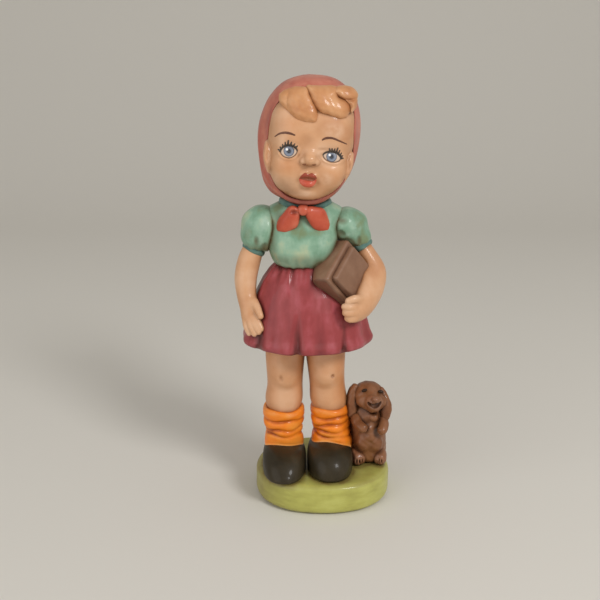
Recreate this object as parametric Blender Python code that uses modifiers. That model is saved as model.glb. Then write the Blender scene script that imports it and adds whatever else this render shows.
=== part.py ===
# Ceramic schoolgirl figurine with a begging puppy, built as the separate castings
# that are luted together with slip before firing.
# Metres, Z up. The origin is the centre of the base underside.
# The figure looks along -Y, so her left side is +X.

import math

import bmesh
import bpy
import numpy as np
from mathutils import Matrix, Vector

# Driving dimensions. The shape tables below are in 1/280 of the height,
# which is one millimetre at the size built here.
FIGURE_HEIGHT = 0.280
UNIT = FIGURE_HEIGHT / 280.0

JOINT_GAP = 0.3 * UNIT          # slip joint between neighbouring castings
BASE_HALF_WIDTH = 45.7 * UNIT
BASE_HALF_DEPTH = 41.0 * UNIT
BASE_HEIGHT = 20.0 * UNIT
BASE_WALL = 5.0 * UNIT
BASE_FLOOR = 5.0 * UNIT
BASE_EDGE = 2.6 * UNIT
BASE_SQUARENESS = 2.25          # 2 is an ellipse, more is squarer
DRAIN_RADIUS = 7.0 * UNIT
DRAIN_BACK = 20.0 * UNIT        # drain hole centre behind the origin

FIGURE_X = -11.4                # figure axis, left of the base centre
SKIRT_FLATNESS = 0.81           # depth over width
SKIRT_FOLDS = 9
SKIRT_WAIST_Z = 163.0
SKIRT_HEM_Z = 108.0
VENT_RADIUS = 4.5 * UNIT
VENT_BACK = 19.5 * UNIT

HEAD_CENTRE = (-10.0, 0.0, 240.0)
HEAD_ROLL = math.radians(5.0)   # her head leans to her left
HEAD_WALL = 5.0

BOOK_CORNER = (0.7, -31.0, 157.0)
BOOK_LONG = (0.503, 0.643, 0.584)
BOOK_SHORT = (0.514, 0.318, -0.793)
BOOK_FACE = (0.696, -0.696, 0.177)
BOOK_EDGE = 1.0 * UNIT

# Glaze colours (linear) and roughness.
PAINT = {
    "base_green": ((0.36, 0.33, 0.09), 0.40),
    "shoe_black": ((0.035, 0.027, 0.015), 0.25),
    "sock_orange": ((0.62, 0.19, 0.02), 0.35),
    "skin": ((0.70, 0.40, 0.24), 0.30),
    "skirt_red": ((0.34, 0.07, 0.065), 0.35),
    "blouse_teal": ((0.28, 0.41, 0.31), 0.35),
    "trim_teal": ((0.12, 0.17, 0.13), 0.35),
    "book_brown": ((0.23, 0.12, 0.075), 0.25),
    "bow_red": ((0.50, 0.11, 0.055), 0.35),
    "scarf_red": ((0.47, 0.17, 0.12), 0.40),
    "hair_tan": ((0.60, 0.28, 0.12), 0.30),
    "dog_brown": ((0.16, 0.065, 0.025), 0.35),
}

for old in list(bpy.data.objects):
    bpy.data.objects.remove(old, do_unlink=True)

figurine = bpy.data.collections.new("schoolgirl_figurine")
cutters = bpy.data.collections.new("cutters")
bpy.context.scene.collection.children.link(figurine)
bpy.context.scene.collection.children.link(cutters)

# The plain closed forms that each casting is joined from, before it is fitted to others.
plain_forms = {}


def glaze(paint):
    mat = bpy.data.materials.get(paint)
    if mat is None:
        mat = bpy.data.materials.new(paint)
        mat.use_nodes = True
        colour, roughness = PAINT[paint]
        shader = mat.node_tree.nodes["Principled BSDF"]
        shader.inputs["Base Color"].default_value = (*colour, 1.0)
        shader.inputs["Roughness"].default_value = roughness
        shader.inputs["Metallic"].default_value = 0.0
        mat.diffuse_color = (*colour, 1.0)
    return mat


def outward_mesh(name, bm):
    bmesh.ops.recalc_face_normals(bm, faces=bm.faces)
    if bm.calc_volume(signed=True) < 0.0:
        bmesh.ops.reverse_faces(bm, faces=bm.faces)
    mesh = bpy.data.meshes.new(name)
    bm.to_mesh(mesh)
    bm.free()
    return mesh


def place(name, bm, paint):
    mesh = outward_mesh(name, bm)
    obj = bpy.data.objects.new(name, mesh)
    mesh.materials.append(glaze(paint))
    figurine.objects.link(obj)
    plain_forms[name] = [mesh.copy()]
    return obj


def cutter(name, bm):
    obj = bpy.data.objects.new(name, outward_mesh(name, bm))
    obj.hide_render = True
    obj.display_type = "WIRE"
    cutters.objects.link(obj)
    return obj


def boolean(obj, tool, operation):
    mod = obj.modifiers.new(tool.name, "BOOLEAN")
    mod.operation = operation
    mod.solver = "EXACT"
    mod.object = tool


def settle(obj):
    # Turns the evaluated form into the object's own mesh.
    bpy.context.view_layer.update()
    graph = bpy.context.evaluated_depsgraph_get()
    mesh = bpy.data.meshes.new_from_object(obj.evaluated_get(graph))
    obj.modifiers.clear()
    obj.data = mesh


def fuse(obj, forms):
    # Joins further forms to a casting, such as fingers to an arm.
    tools = [cutter(f"{obj.name}_form{i}", bm) for i, bm in enumerate(forms)]
    for tool in tools:
        boolean(obj, tool, "UNION")
        plain_forms[obj.name].append(tool.data.copy())
    settle(obj)
    for tool in tools:
        bpy.data.objects.remove(tool, do_unlink=True)


def span(mesh):
    points = np.array([vert.co for vert in mesh.vertices])
    return points.min(axis=0) - JOINT_GAP, points.max(axis=0) + JOINT_GAP


def carve(obj, *others):
    # Fits a casting against its neighbours, a joint gap away from each.
    low, high = span(obj.data)
    for other in others:
        for form in plain_forms[other.name]:
            form_low, form_high = span(form)
            if (form_low > high).any() or (form_high < low).any():
                continue
            bm = bmesh.new()
            bm.from_mesh(form)
            bm.normal_update()
            for vert in bm.verts:
                vert.co += vert.normal * JOINT_GAP
            boolean(obj, cutter(f"{other.name}_in_{obj.name}", bm), "DIFFERENCE")


def hollow(obj, name, bm):
    boolean(obj, cutter(name, bm), "DIFFERENCE")


def spline(stations, t):
    last = len(stations) - 1
    k = min(int(t * last), last - 1)
    f = t * last - k
    near = (stations[max(k - 1, 0)], stations[k], stations[k + 1], stations[min(k + 2, last)])
    return [
        0.5 * (2 * b + (c - a) * f + (2 * a - 5 * b + 4 * c - d) * f ** 2 + (3 * b - a - 3 * c + d) * f ** 3)
        for a, b, c, d in zip(*near)
    ]


def swell(stations, side=(1, 0, 0), segments=16, rings=10):
    # A rounded form along a path: a UV sphere whose axis is drawn over the path.
    # A station is x, y, z, half width along the side direction, half depth.
    rows = np.array([spline(stations, i / 60.0) for i in range(61)])
    steps = np.linalg.norm(np.diff(rows[:, :3], axis=0), axis=1)
    run = np.concatenate([[0.0], np.cumsum(steps)])
    length = run[-1]
    caps = (sum(stations[0][3:]) / 2.0, sum(stations[-1][3:]) / 2.0)
    side = Vector(side)

    def on_path(s):
        return [float(np.interp(s, run, rows[:, j])) for j in range(5)]

    bm = bmesh.new()
    bmesh.ops.create_uvsphere(bm, u_segments=segments, v_segments=rings, radius=1.0)
    for vert in bm.verts:
        s = length * (1.0 - vert.co.z) / 2.0
        x, y, z, wide, deep = on_path(s)
        along = Vector(on_path(min(s + 0.4, length))[:3]) - Vector(on_path(max(s - 0.4, 0.0))[:3])
        along.normalize()
        across = (side - along * side.dot(along)).normalized()
        through = across.cross(along)
        round_off = 1.0
        for reach, cap in ((s, caps[0]), (length - s, caps[1])):
            if reach < cap:
                round_off *= math.sqrt(max(0.0, 1.0 - (1.0 - reach / cap) ** 2))
        turn = Vector((vert.co.x, vert.co.y))
        if turn.length > 1e-6:
            turn.normalize()
        offset = across * (turn.x * wide * round_off) + through * (turn.y * deep * round_off)
        vert.co = (Vector((x, y, z)) + offset) * UNIT
    return bm


def turned(profile, steps):
    # A profile of radius and height, top to bottom, turned about the Z axis.
    mesh = bpy.data.meshes.new("profile")
    points = [(r * UNIT, 0.0, z * UNIT) for r, z in profile]
    mesh.from_pydata(points, [(i, i + 1) for i in range(len(points) - 1)], [])
    obj = bpy.data.objects.new("profile", mesh)
    cutters.objects.link(obj)
    screw = obj.modifiers.new("turn", "SCREW")
    screw.steps = steps
    screw.render_steps = steps
    screw.use_merge_vertices = True
    screw.merge_threshold = 0.00001
    settle(obj)
    bm = bmesh.new()
    bm.from_mesh(obj.data)
    bpy.data.objects.remove(obj, do_unlink=True)
    return bm


def ring(centre, axis, major, minor, tall, flat=1.0, segments=22, sides=8):
    # A band: a torus stretched along its axis by tall and across by flat.
    bpy.ops.mesh.primitive_torus_add(
        major_segments=segments, minor_segments=sides, major_radius=major, minor_radius=minor)
    made = bpy.context.active_object
    bm = bmesh.new()
    bm.from_mesh(made.data)
    bpy.data.objects.remove(made, do_unlink=True)
    tilt = Vector((0, 0, 1)).rotation_difference(Vector(axis)).to_matrix()
    for vert in bm.verts:
        squeezed = Vector((vert.co.x, vert.co.y * flat, vert.co.z * tall))
        vert.co = (tilt @ squeezed + Vector(centre)) * UNIT
    return bm


def oval_slab(half_x, half_y, low, high, sides=40):
    bm = bmesh.new()
    bmesh.ops.create_cone(bm, cap_ends=True, segments=sides, radius1=1.0, radius2=1.0, depth=1.0)
    power = 2.0 / BASE_SQUARENESS
    for vert in bm.verts:
        x = math.copysign(abs(vert.co.x) ** power, vert.co.x) * half_x
        y = math.copysign(abs(vert.co.y) ** power, vert.co.y) * half_y
        vert.co = (x, y, low + (vert.co.z + 0.5) * (high - low))
    return bm


def round_hole(x, y, low, high, radius, sides=20):
    bm = bmesh.new()
    bmesh.ops.create_cone(bm, cap_ends=True, segments=sides, radius1=radius, radius2=radius, depth=high - low)
    bmesh.ops.translate(bm, verts=bm.verts, vec=(x, y, (low + high) / 2.0))
    return bm


def book(a_low, a_high, b_low, b_high, t_low, t_high):
    # A block in the books' own directions, measured from the front corner of the rear book.
    bm = bmesh.new()
    bmesh.ops.create_cube(bm, size=1.0)
    for vert in bm.verts:
        a = a_low + (vert.co.x + 0.5) * (a_high - a_low)
        b = b_low + (vert.co.y + 0.5) * (b_high - b_low)
        t = t_low + (vert.co.z + 0.5) * (t_high - t_low)
        spot = Vector(BOOK_CORNER) + Vector(BOOK_LONG) * a + Vector(BOOK_SHORT) * b + Vector(BOOK_FACE) * t
        vert.co = spot * UNIT
    return bm


def soften(obj, width, segments=2):
    mod = obj.modifiers.new("edges", "BEVEL")
    mod.width = width
    mod.segments = segments
    mod.limit_method = "ANGLE"
    settle(obj)
    plain_forms[obj.name] = [obj.data.copy()]


# Base: a hollow oval plinth with a drain hole behind the middle of its floor.
base = place("base", oval_slab(BASE_HALF_WIDTH, BASE_HALF_DEPTH, 0.0, BASE_HEIGHT), "base_green")
soften(base, BASE_EDGE, 2)
hollow(base, "base_cavity", oval_slab(
    BASE_HALF_WIDTH - BASE_WALL, BASE_HALF_DEPTH - BASE_WALL, BASE_FLOOR, BASE_HEIGHT - BASE_WALL, 28))
hollow(base, "base_drain", round_hole(0.0, DRAIN_BACK, -UNIT, BASE_FLOOR + UNIT, DRAIN_RADIUS))


# Legs, with their ends as tenons in the socks and in the underside of the skirt.
right_leg = place("right_leg", swell([
    (-25.0, 0.0, 119.0, 9.0, 9.0), (-25.2, 0.0, 110.0, 13.0, 13.0), (-25.4, -0.5, 99.0, 12.9, 13.2),
    (-25.4, -1.5, 88.0, 12.3, 13.6), (-25.5, 0.2, 77.0, 11.7, 12.0), (-26.0, 0.8, 66.0, 12.3, 12.8),
    (-26.3, 0.0, 56.0, 11.4, 11.6), (-26.4, 0.0, 50.0, 8.0, 8.0)], segments=16, rings=12), "skin")
left_leg = place("left_leg", swell([
    (1.6, 0.0, 119.0, 9.0, 9.0), (1.6, 0.0, 110.0, 13.0, 13.0), (1.8, -0.5, 99.0, 12.9, 13.2),
    (2.2, -1.5, 88.0, 12.2, 13.6), (2.9, 0.2, 77.0, 11.8, 12.0), (3.9, 0.8, 66.0, 12.3, 12.8),
    (4.9, 0.0, 56.0, 11.4, 11.6), (5.2, 0.0, 50.0, 8.0, 8.0)], segments=16, rings=12), "skin")

# Slouch socks: three soft rolls on a short tube, each sock slightly askew.
SOCK_PROFILE = [
    (0.0, 63.5), (11.6, 63.5), (13.5, 62.6), (14.5, 60.2), (14.3, 57.6), (13.4, 56.2), (14.5, 54.2),
    (14.7, 52.0), (13.7, 50.2), (14.5, 48.4), (14.6, 46.0), (13.6, 44.0), (12.2, 41.5), (11.5, 36.0), (0.0, 36.0)]


def sock(name, x, lean):
    bm = turned(SOCK_PROFILE, 18)
    for vert in bm.verts:
        turn = math.atan2(vert.co.y, vert.co.x)
        high = max(0.0, vert.co.z / UNIT - 42.0) / 20.0
        vert.co.z += UNIT * high * 0.9 * math.cos(turn * 2.0 + lean)
        vert.co.x += UNIT * x
    made = place(name, bm, "sock_orange")
    return made


right_sock = sock("right_sock", -26.4, 0.6)
left_sock = sock("left_sock", 5.4, -0.7)
carve(right_sock, right_leg)
carve(left_sock, left_leg)

# Clog shoes, flat where they stand on the base.
SHOE = [(0.2, 20.0, 31.0, 9.0, 10.5), (0.2, 10.0, 31.5, 11.6, 13.0), (0.1, -4.0, 31.0, 12.7, 13.4),
        (-0.1, -18.0, 29.8, 14.2, 13.0), (-0.2, -29.0, 28.2, 14.0, 11.0), (-0.2, -35.8, 27.2, 9.5, 7.5)]


def shoe(name, x, outward, own_sock):
    stations = [(x + outward * sx, sy, sz, w, d) for sx, sy, sz, w, d in SHOE]
    made = place(name, swell(stations, segments=16, rings=11), "shoe_black")
    carve(made, base, own_sock)
    return made


right_shoe = shoe("right_shoe", -25.7, 1.0, right_sock)
left_shoe = shoe("left_shoe", 5.2, -1.0, left_sock)

# Bodice: a hollow blouse barrel that bags a little over the waist.
bodice = place("bodice", swell([
    (-12.2, 1.0, 203.0, 6.0, 5.0), (-12.2, 0.8, 200.0, 14.5, 12.0), (-12.3, 0.5, 194.0, 18.5, 15.5),
    (-12.3, 0.0, 185.0, 21.0, 18.5), (-12.2, -0.8, 174.0, 22.3, 20.5), (-11.8, -0.6, 166.0, 21.8, 19.8),
    (-11.5, 0.0, 160.0, 18.0, 16.0), (-11.5, 0.0, 156.0, 8.0, 8.0)], segments=20, rings=14), "blouse_teal")

# Skirt: a gathered bell with a closed underside, a waist opening and a vent.
SKIRT_PROFILE = [
    (0.0, 163.0), (15.0, 163.0), (19.5, 161.2), (25.5, 154.5), (32.0, 144.0), (36.6, 133.0),
    (40.0, 120.5), (42.2, 111.5), (41.8, 109.2), (40.2, 108.0), (37.0, 108.8), (32.0, 112.0), (0.0, 112.0)]
SKIRT_CAVITY = [
    (0.0, 166.0), (11.0, 166.0), (11.5, 160.0), (17.0, 152.0), (24.5, 143.0), (29.0, 133.0), (31.0, 123.0),
    (0.0, 123.0)]


def gather(bm):
    for vert in bm.verts:
        flat = Vector((vert.co.x, vert.co.y))
        fall = (SKIRT_WAIST_Z - vert.co.z / UNIT) / (SKIRT_WAIST_Z - SKIRT_HEM_Z)
        fall = max(0.0, min(1.0, fall))
        turn = math.atan2(flat.y, flat.x)
        fold = 0.65 * math.cos(SKIRT_FOLDS * turn + 0.47) + 0.35 * math.cos(5 * turn - 0.9)
        if flat.length > 12.0 * UNIT:
            flat *= 1.0 + (0.014 + 0.032 * fall) * fold
            vert.co.z += UNIT * 0.8 * fall ** 2 * fold
        vert.co.x = flat.x + UNIT * (FIGURE_X + 1.0 * fall)
        vert.co.y = flat.y * SKIRT_FLATNESS
    return bm


skirt = place("skirt", gather(turned(SKIRT_PROFILE, 45)), "skirt_red")
carve(skirt, bodice, right_leg, left_leg)
skirt_cavity = turned(SKIRT_CAVITY, 20)
for vert in skirt_cavity.verts:
    vert.co.x += UNIT * (FIGURE_X + 0.5)
    vert.co.y *= SKIRT_FLATNESS
hollow(skirt, "skirt_cavity", skirt_cavity)
hollow(skirt, "skirt_vent", round_hole(
    FIGURE_X * UNIT, VENT_BACK, 100.0 * UNIT, 126.0 * UNIT, VENT_RADIUS))

# Head: a doll's face on a hollow skull, with a neck that stands in the bodice.


def face(co):
    # A round doll's head: full cheeks and jaw, small nose and lips, shallow eye sockets.
    x, y, z = co
    jaw = max(0.0, -z - 0.5)
    px = x * 27.2 * (1.0 + 0.9 * jaw)
    py = y * (26.0 * (1.0 + 0.5 * jaw) if y < 0 else 29.0 * (1.0 - 0.4 * jaw))
    pz = z * (35.5 if z > 0 else 34.6)
    if y < 0:
        nose = math.exp(-(px / 3.8) ** 2 - ((pz + 9.5) / 4.0) ** 2)
        cheek = math.exp(-((abs(px) - 13.0) / 8.0) ** 2 - ((pz + 16.0) / 9.0) ** 2)
        socket = math.exp(-((abs(px) - 12.5) / 6.0) ** 2 - ((pz + 5.5) / 5.0) ** 2)
        lips = math.exp(-(px / 5.0) ** 2 - ((pz + 22.0) / 4.5) ** 2)
        chin = math.exp(-(px / 8.0) ** 2 - ((pz + 30.0) / 5.0) ** 2)
        py -= (5.0 * nose + 1.4 * cheek + 1.3 * lips + 1.0 * chin - 1.5 * socket) * min(1.0, -y * 1.6)
    return px, py, pz


def seat_head(point):
    roll = Matrix.Rotation(HEAD_ROLL, 3, "Y")
    return (roll @ Vector(point) + Vector(HEAD_CENTRE)) * UNIT


def skull(shape, segments, rings):
    bm = bmesh.new()
    bmesh.ops.create_uvsphere(bm, u_segments=segments, v_segments=rings, radius=1.0)
    for vert in bm.verts:
        vert.co = seat_head(shape(vert.co))
    return bm


def hood_inside(co):
    # A plainer form just clear of the head, for the inside of the scarf.
    x, y, z = co
    jaw = max(0.0, -z - 0.5)
    px = x * 28.2 * (1.0 + 0.9 * jaw)
    py = y * (27.0 * (1.0 + 0.5 * jaw) if y < 0 else 30.2 * (1.0 - 0.4 * jaw))
    return px, py, z * (36.4 if z > 0 else 35.4)


head = place("head", skull(face, 24, 22), "skin")
ears = [swell([(x, -7.0, z + 6.5, 1.6, 2.4), (x, -8.5, z, 2.6, 3.8), (x - lean, -9.0, z - 6.5, 1.6, 2.2)],
              segments=8, rings=6) for x, z, lean in ((-34.6, 231.0, -1.5), (14.2, 225.5, 1.5))]
neck = swell([(-11.5, 2.5, 218.0, 9.0, 9.0), (-11.8, 2.0, 206.0, 10.5, 10.0), (-12.0, 1.5, 190.0, 10.0, 9.5),
              (-12.0, 1.5, 187.0, 7.0, 7.0)], segments=14, rings=8)
fuse(head, [*ears, neck])
carve(bodice, head)
hollow(bodice, "bodice_cavity", swell([
    (-12.2, 0.3, 196.0, 5.0, 5.0), (-12.2, 0.2, 190.0, 12.5, 10.5), (-12.2, -0.4, 178.0, 16.6, 14.6),
    (-12.0, -0.4, 167.0, 15.4, 13.4), (-11.6, 0.0, 160.0, 8.0, 8.0), (-11.5, 0.0, 148.0, 7.0, 7.0)],
    segments=16, rings=12))
hollow(head, "head_cavity", skull(
    lambda co: (co.x * (27.6 - HEAD_WALL), 2.0 + co.y * (26.5 - HEAD_WALL),
                1.0 + co.z * (34.0 - HEAD_WALL)), 18, 14))
hollow(head, "neck_bore", round_hole(-12.0 * UNIT, 1.8 * UNIT, 180.0 * UNIT, 222.0 * UNIT, 5.5 * UNIT, 16))

# Stand collar round the neck.
collar = place("collar", ring((-12.0, 0.0, 199.8), (0.05, -0.1, 1.0), 14.4, 2.6, 1.4, 0.92), "trim_teal")
carve(collar, bodice, head)

# Headscarf: a hood over the head, open for the face, drawn in under the chin.
headscarf = place("headscarf", swell([
    (-10.0, 6.0, 279.6, 4.0, 4.0), (-9.6, 5.5, 278.0, 9.5, 11.0), (-8.9, 5.0, 273.5, 19.8, 20.5),
    (-8.6, 4.5, 265.0, 27.6, 27.0), (-9.4, 4.0, 252.0, 31.4, 30.0), (-10.5, 4.0, 238.0, 32.2, 30.0),
    (-11.2, 3.0, 224.0, 30.0, 27.0), (-12.0, 1.0, 213.0, 26.4, 25.0), (-11.8, 0.3, 207.5, 22.2, 21.5),
    (-12.0, 0.3, 204.8, 17.4, 18.0), (-12.0, 0.3, 203.6, 9.0, 9.0)], segments=24, rings=16), "scarf_red")
window = swell([
    (-7.5, -38.0, 273.0, 8.0, 30.0), (-7.5, -38.0, 269.5, 16.0, 30.0), (-8.2, -38.0, 262.0, 22.5, 30.0),
    (-9.0, -38.0, 250.0, 26.0, 30.0), (-9.8, -38.0, 236.0, 26.6, 30.0), (-10.8, -38.0, 222.0, 24.5, 29.0),
    (-11.4, -38.0, 212.0, 19.5, 25.0), (-11.6, -38.0, 206.0, 10.0, 20.0)], segments=22, rings=15)
hollow(headscarf, "face_window", window)
hollow(headscarf, "hood_inside", skull(hood_inside, 18, 14))
carve(headscarf, head, collar, bodice)

# Swept fringe: a blunt lock on her right, a big round-ended lock on her left,
# a rolled curl above it and a small side lock.
fringe_right_lock = place("fringe_right_lock", swell([
    (-24.0, -15.0, 268.5, 3.0, 3.5), (-20.5, -19.5, 266.0, 6.0, 4.6), (-14.5, -23.5, 261.0, 7.6, 4.6),
    (-9.5, -25.5, 257.0, 6.4, 4.0), (-6.4, -26.3, 255.0, 4.4, 3.0)],
    side=(0.45, 0.0, 0.9), segments=13, rings=10), "hair_tan")
fringe_left_lock = place("fringe_left_lock", swell([
    (-12.0, -17.5, 272.0, 3.0, 3.5), (-6.5, -21.0, 268.5, 6.0, 4.8), (1.0, -23.5, 263.0, 6.4, 5.0),
    (7.5, -23.6, 258.8, 5.6, 4.8), (11.5, -22.4, 257.0, 4.6, 4.0)],
    side=(0.45, 0.0, 0.9), segments=13, rings=10), "hair_tan")
fringe_top_curl = place("fringe_top_curl", swell([
    (-3.0, -16.5, 273.0, 2.4, 3.0), (5.0, -19.5, 270.6, 4.6, 4.6), (12.0, -18.5, 267.4, 4.6, 5.0),
    (16.8, -14.5, 264.0, 4.8, 4.8), (18.0, -11.0, 258.5, 3.0, 3.4)],
    side=(0.3, 0.0, 0.95), segments=13, rings=10), "hair_tan")
fringe_side_lock = place("fringe_side_lock", swell([
    (-24.5, -11.0, 270.0, 2.0, 2.5), (-27.0, -13.5, 266.0, 3.2, 3.4), (-27.4, -15.0, 261.5, 2.8, 3.0),
    (-25.5, -17.5, 258.0, 1.8, 2.0)], side=(1.0, 0.0, 0.2), segments=10, rings=8), "hair_tan")
carve(fringe_right_lock, head)
carve(fringe_left_lock, head, fringe_right_lock)
carve(fringe_top_curl, head, fringe_left_lock)
carve(fringe_side_lock, head, fringe_right_lock)
carve(headscarf, fringe_right_lock, fringe_left_lock, fringe_top_curl, fringe_side_lock)

# Arms, each cast with its hand.
right_arm = place("right_arm", swell([
    (-41.5, 0.5, 180.0, 5.0, 5.0), (-43.5, -0.5, 172.0, 7.0, 7.2), (-47.6, -2.0, 162.0, 7.3, 7.6),
    (-50.2, -5.0, 151.0, 7.3, 7.3), (-50.3, -9.5, 141.0, 6.8, 6.6), (-48.6, -14.0, 133.0, 6.4, 5.6),
    (-47.6, -17.5, 127.0, 6.4, 4.8), (-47.2, -19.5, 122.5, 4.6, 3.6)], segments=14, rings=15), "skin")
fuse(right_arm, [
    swell([(-44.6, -15.0, 138.5, 2.6, 2.6), (-41.0, -20.0, 135.0, 2.6, 2.6), (-39.0, -23.0, 130.6, 2.2, 2.2)],
          segments=8, rings=6),
    swell([(-44.6, -18.5, 126.5, 2.3, 2.3), (-42.3, -22.5, 123.2, 2.3, 2.3), (-40.2, -24.0, 120.6, 1.9, 1.9)],
          segments=8, rings=6),
    swell([(-46.2, -19.0, 124.5, 2.3, 2.3), (-44.6, -22.5, 120.6, 2.3, 2.3), (-42.8, -23.2, 117.6, 1.9, 1.9)],
          segments=8, rings=6),
    swell([(-48.2, -18.8, 123.5, 2.3, 2.3), (-47.4, -21.6, 119.6, 2.2, 2.2), (-45.9, -22.0, 116.8, 1.9, 1.9)],
          segments=8, rings=6),
    swell([(-50.4, -17.6, 123.5, 2.1, 2.1), (-50.2, -20.0, 120.0, 2.0, 2.0), (-48.9, -20.6, 117.4, 1.7, 1.7)],
          segments=8, rings=6)])
left_arm = place("left_arm", swell([
    (18.5, 1.0, 182.0, 5.0, 5.0), (21.5, -0.5, 174.5, 6.6, 6.8), (28.2, -2.5, 165.0, 6.8, 7.0),
    (33.2, -6.0, 155.5, 6.9, 7.0), (33.0, -11.5, 146.5, 7.2, 6.8), (28.6, -18.0, 140.0, 7.4, 6.6),
    (23.0, -23.5, 136.5, 7.6, 6.4), (17.5, -27.0, 134.8, 7.0, 5.6), (13.0, -28.5, 135.5, 4.4, 4.0)],
    side=(0.4, 0.0, 0.92), segments=14, rings=15), "skin")
fuse(left_arm, [
    swell([(24.5, -25.0, 144.0, 3.0, 3.0), (18.5, -31.0, 145.0, 2.7, 2.7), (13.2, -32.5, 143.4, 2.2, 2.2)],
          side=(0, 0, 1), segments=8, rings=6),
    swell([(20.0, -29.5, 139.0, 2.4, 2.4), (14.5, -32.0, 139.4, 2.4, 2.4), (10.6, -30.0, 140.0, 2.0, 2.0)],
          side=(0, 0, 1), segments=8, rings=6),
    swell([(20.5, -29.5, 135.4, 2.4, 2.4), (15.0, -32.0, 135.4, 2.4, 2.4), (11.2, -30.0, 136.4, 2.0, 2.0)],
          side=(0, 0, 1), segments=8, rings=6),
    swell([(20.8, -29.0, 131.8, 2.3, 2.3), (16.0, -31.2, 131.6, 2.3, 2.3), (12.8, -29.5, 132.8, 1.9, 1.9)],
          side=(0, 0, 1), segments=8, rings=6)])

# Puff sleeves and their cuffs.
right_sleeve = place("right_sleeve", swell([
    (-38.0, 1.0, 199.4, 4.0, 5.0), (-39.6, 0.7, 196.2, 9.0, 10.0), (-41.4, 0.3, 188.0, 12.2, 13.0),
    (-41.8, 0.0, 180.0, 11.8, 13.0), (-42.4, -0.5, 173.5, 9.6, 10.5), (-43.6, -1.0, 169.0, 6.0, 6.5)],
    segments=18, rings=12), "blouse_teal")
left_sleeve = place("left_sleeve", swell([
    (13.4, 1.0, 198.0, 4.0, 5.0), (15.0, 0.7, 195.0, 9.0, 10.0), (17.0, 0.3, 187.5, 11.9, 13.0),
    (17.8, 0.0, 181.0, 11.6, 12.6), (19.5, -0.6, 175.5, 9.6, 10.3), (22.0, -1.2, 171.0, 6.0, 6.5)],
    segments=18, rings=12), "blouse_teal")
right_cuff = place("right_cuff", ring(
    (-44.4, -1.0, 169.2), (0.37, 0.16, 0.92), 7.4, 2.0, 1.35, segments=18, sides=7), "trim_teal")
left_cuff = place("left_cuff", ring(
    (24.4, -1.4, 171.2), (-0.55, 0.18, 0.82), 7.0, 2.0, 1.3, segments=18, sides=7), "trim_teal")
carve(right_cuff, right_arm)
carve(left_cuff, left_arm)
carve(right_sleeve, bodice, right_arm, right_cuff)
carve(left_sleeve, bodice, left_arm, left_cuff)

# Two books held against her left side.
rear_book = place("rear_book", book(0.0, 31.8, 0.0, 24.0, -13.0, 0.0), "book_brown")
front_book = place("front_book", book(4.0, 27.6, 3.8, 20.0, 0.3, 6.0), "book_brown")
soften(rear_book, BOOK_EDGE)
soften(front_book, BOOK_EDGE)
carve(rear_book, bodice, skirt, left_sleeve, left_cuff)
carve(front_book, left_sleeve, left_cuff)
carve(left_arm, rear_book, front_book, skirt)
carve(right_arm, skirt)

# Tied ends of the scarf: a knot and two leaf-shaped tails.
scarf_knot = place("scarf_knot", swell([
    (-13.2, -15.0, 201.6, 3.0, 2.6), (-13.2, -18.6, 198.0, 3.4, 3.2), (-13.2, -20.0, 194.0, 2.4, 2.2)],
    segments=12, rings=8), "bow_red")
scarf_right_tail = place("scarf_right_tail", swell([
    (-14.0, -18.6, 198.2, 1.8, 1.6), (-18.8, -18.8, 195.4, 4.4, 2.4), (-24.2, -18.6, 190.8, 5.0, 2.6),
    (-28.4, -17.8, 186.8, 2.6, 1.6)], side=(0.65, 0.0, 0.75), segments=12, rings=10), "bow_red")
scarf_left_tail = place("scarf_left_tail", swell([
    (-12.4, -18.6, 198.2, 1.8, 1.6), (-8.0, -19.0, 195.0, 4.4, 2.4), (-3.0, -18.4, 190.6, 5.2, 2.6),
    (0.9, -16.8, 186.6, 2.8, 1.6)], side=(-0.65, 0.0, 0.75), segments=12, rings=10), "bow_red")
carve(scarf_knot, bodice, collar, headscarf, head)
carve(scarf_right_tail, bodice, collar, headscarf, scarf_knot)
carve(scarf_left_tail, bodice, collar, headscarf, scarf_knot)

# Begging puppy on the base beside her left foot.
dog_head = place("dog_head", swell([
    (31.4, 3.0, 79.4, 5.0, 5.0), (31.2, 1.0, 76.0, 10.8, 10.0), (31.2, -0.5, 70.5, 12.2, 11.0),
    (31.8, -1.5, 64.8, 9.4, 8.4), (32.0, -2.0, 62.2, 4.0, 4.0)], segments=16, rings=11), "dog_brown")
fuse(dog_head, [swell([
    (31.4, -4.0, 70.0, 6.0, 5.4), (31.6, -10.5, 69.6, 6.0, 5.2), (31.8, -15.0, 69.6, 3.6, 3.2)],
    segments=12, rings=8)])
dog_body = place("dog_body", swell([
    (31.5, 2.0, 66.0, 5.0, 5.0), (31.6, 1.5, 60.0, 9.6, 9.4), (31.6, 2.0, 49.0, 11.8, 11.6),
    (31.6, 4.0, 36.0, 12.8, 13.4), (31.6, 5.0, 24.0, 12.0, 13.0), (31.6, 5.0, 19.0, 8.0, 8.0)],
    segments=16, rings=12), "dog_brown")
dog_right_ear = place("dog_right_ear", swell([
    (22.0, 0.0, 77.0, 2.4, 3.0), (18.6, -1.5, 71.5, 3.0, 4.6), (17.6, -2.5, 65.0, 2.6, 4.4),
    (18.4, -3.0, 60.0, 1.6, 2.4)], segments=10, rings=8), "dog_brown")
dog_left_ear = place("dog_left_ear", swell([
    (40.2, 0.0, 77.0, 2.4, 3.0), (43.6, -1.5, 70.5, 3.0, 4.6), (45.0, -2.5, 60.5, 3.0, 5.0),
    (44.6, -3.0, 52.0, 1.8, 2.6)], segments=10, rings=8), "dog_brown")
dog_right_forepaw = place("dog_right_forepaw", swell([
    (23.6, -4.0, 57.0, 3.2, 3.4), (24.4, -9.0, 53.0, 3.4, 3.4), (27.0, -13.0, 51.4, 3.0, 3.0),
    (28.4, -15.0, 49.2, 2.2, 2.2)], segments=10, rings=8), "dog_brown")
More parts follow.
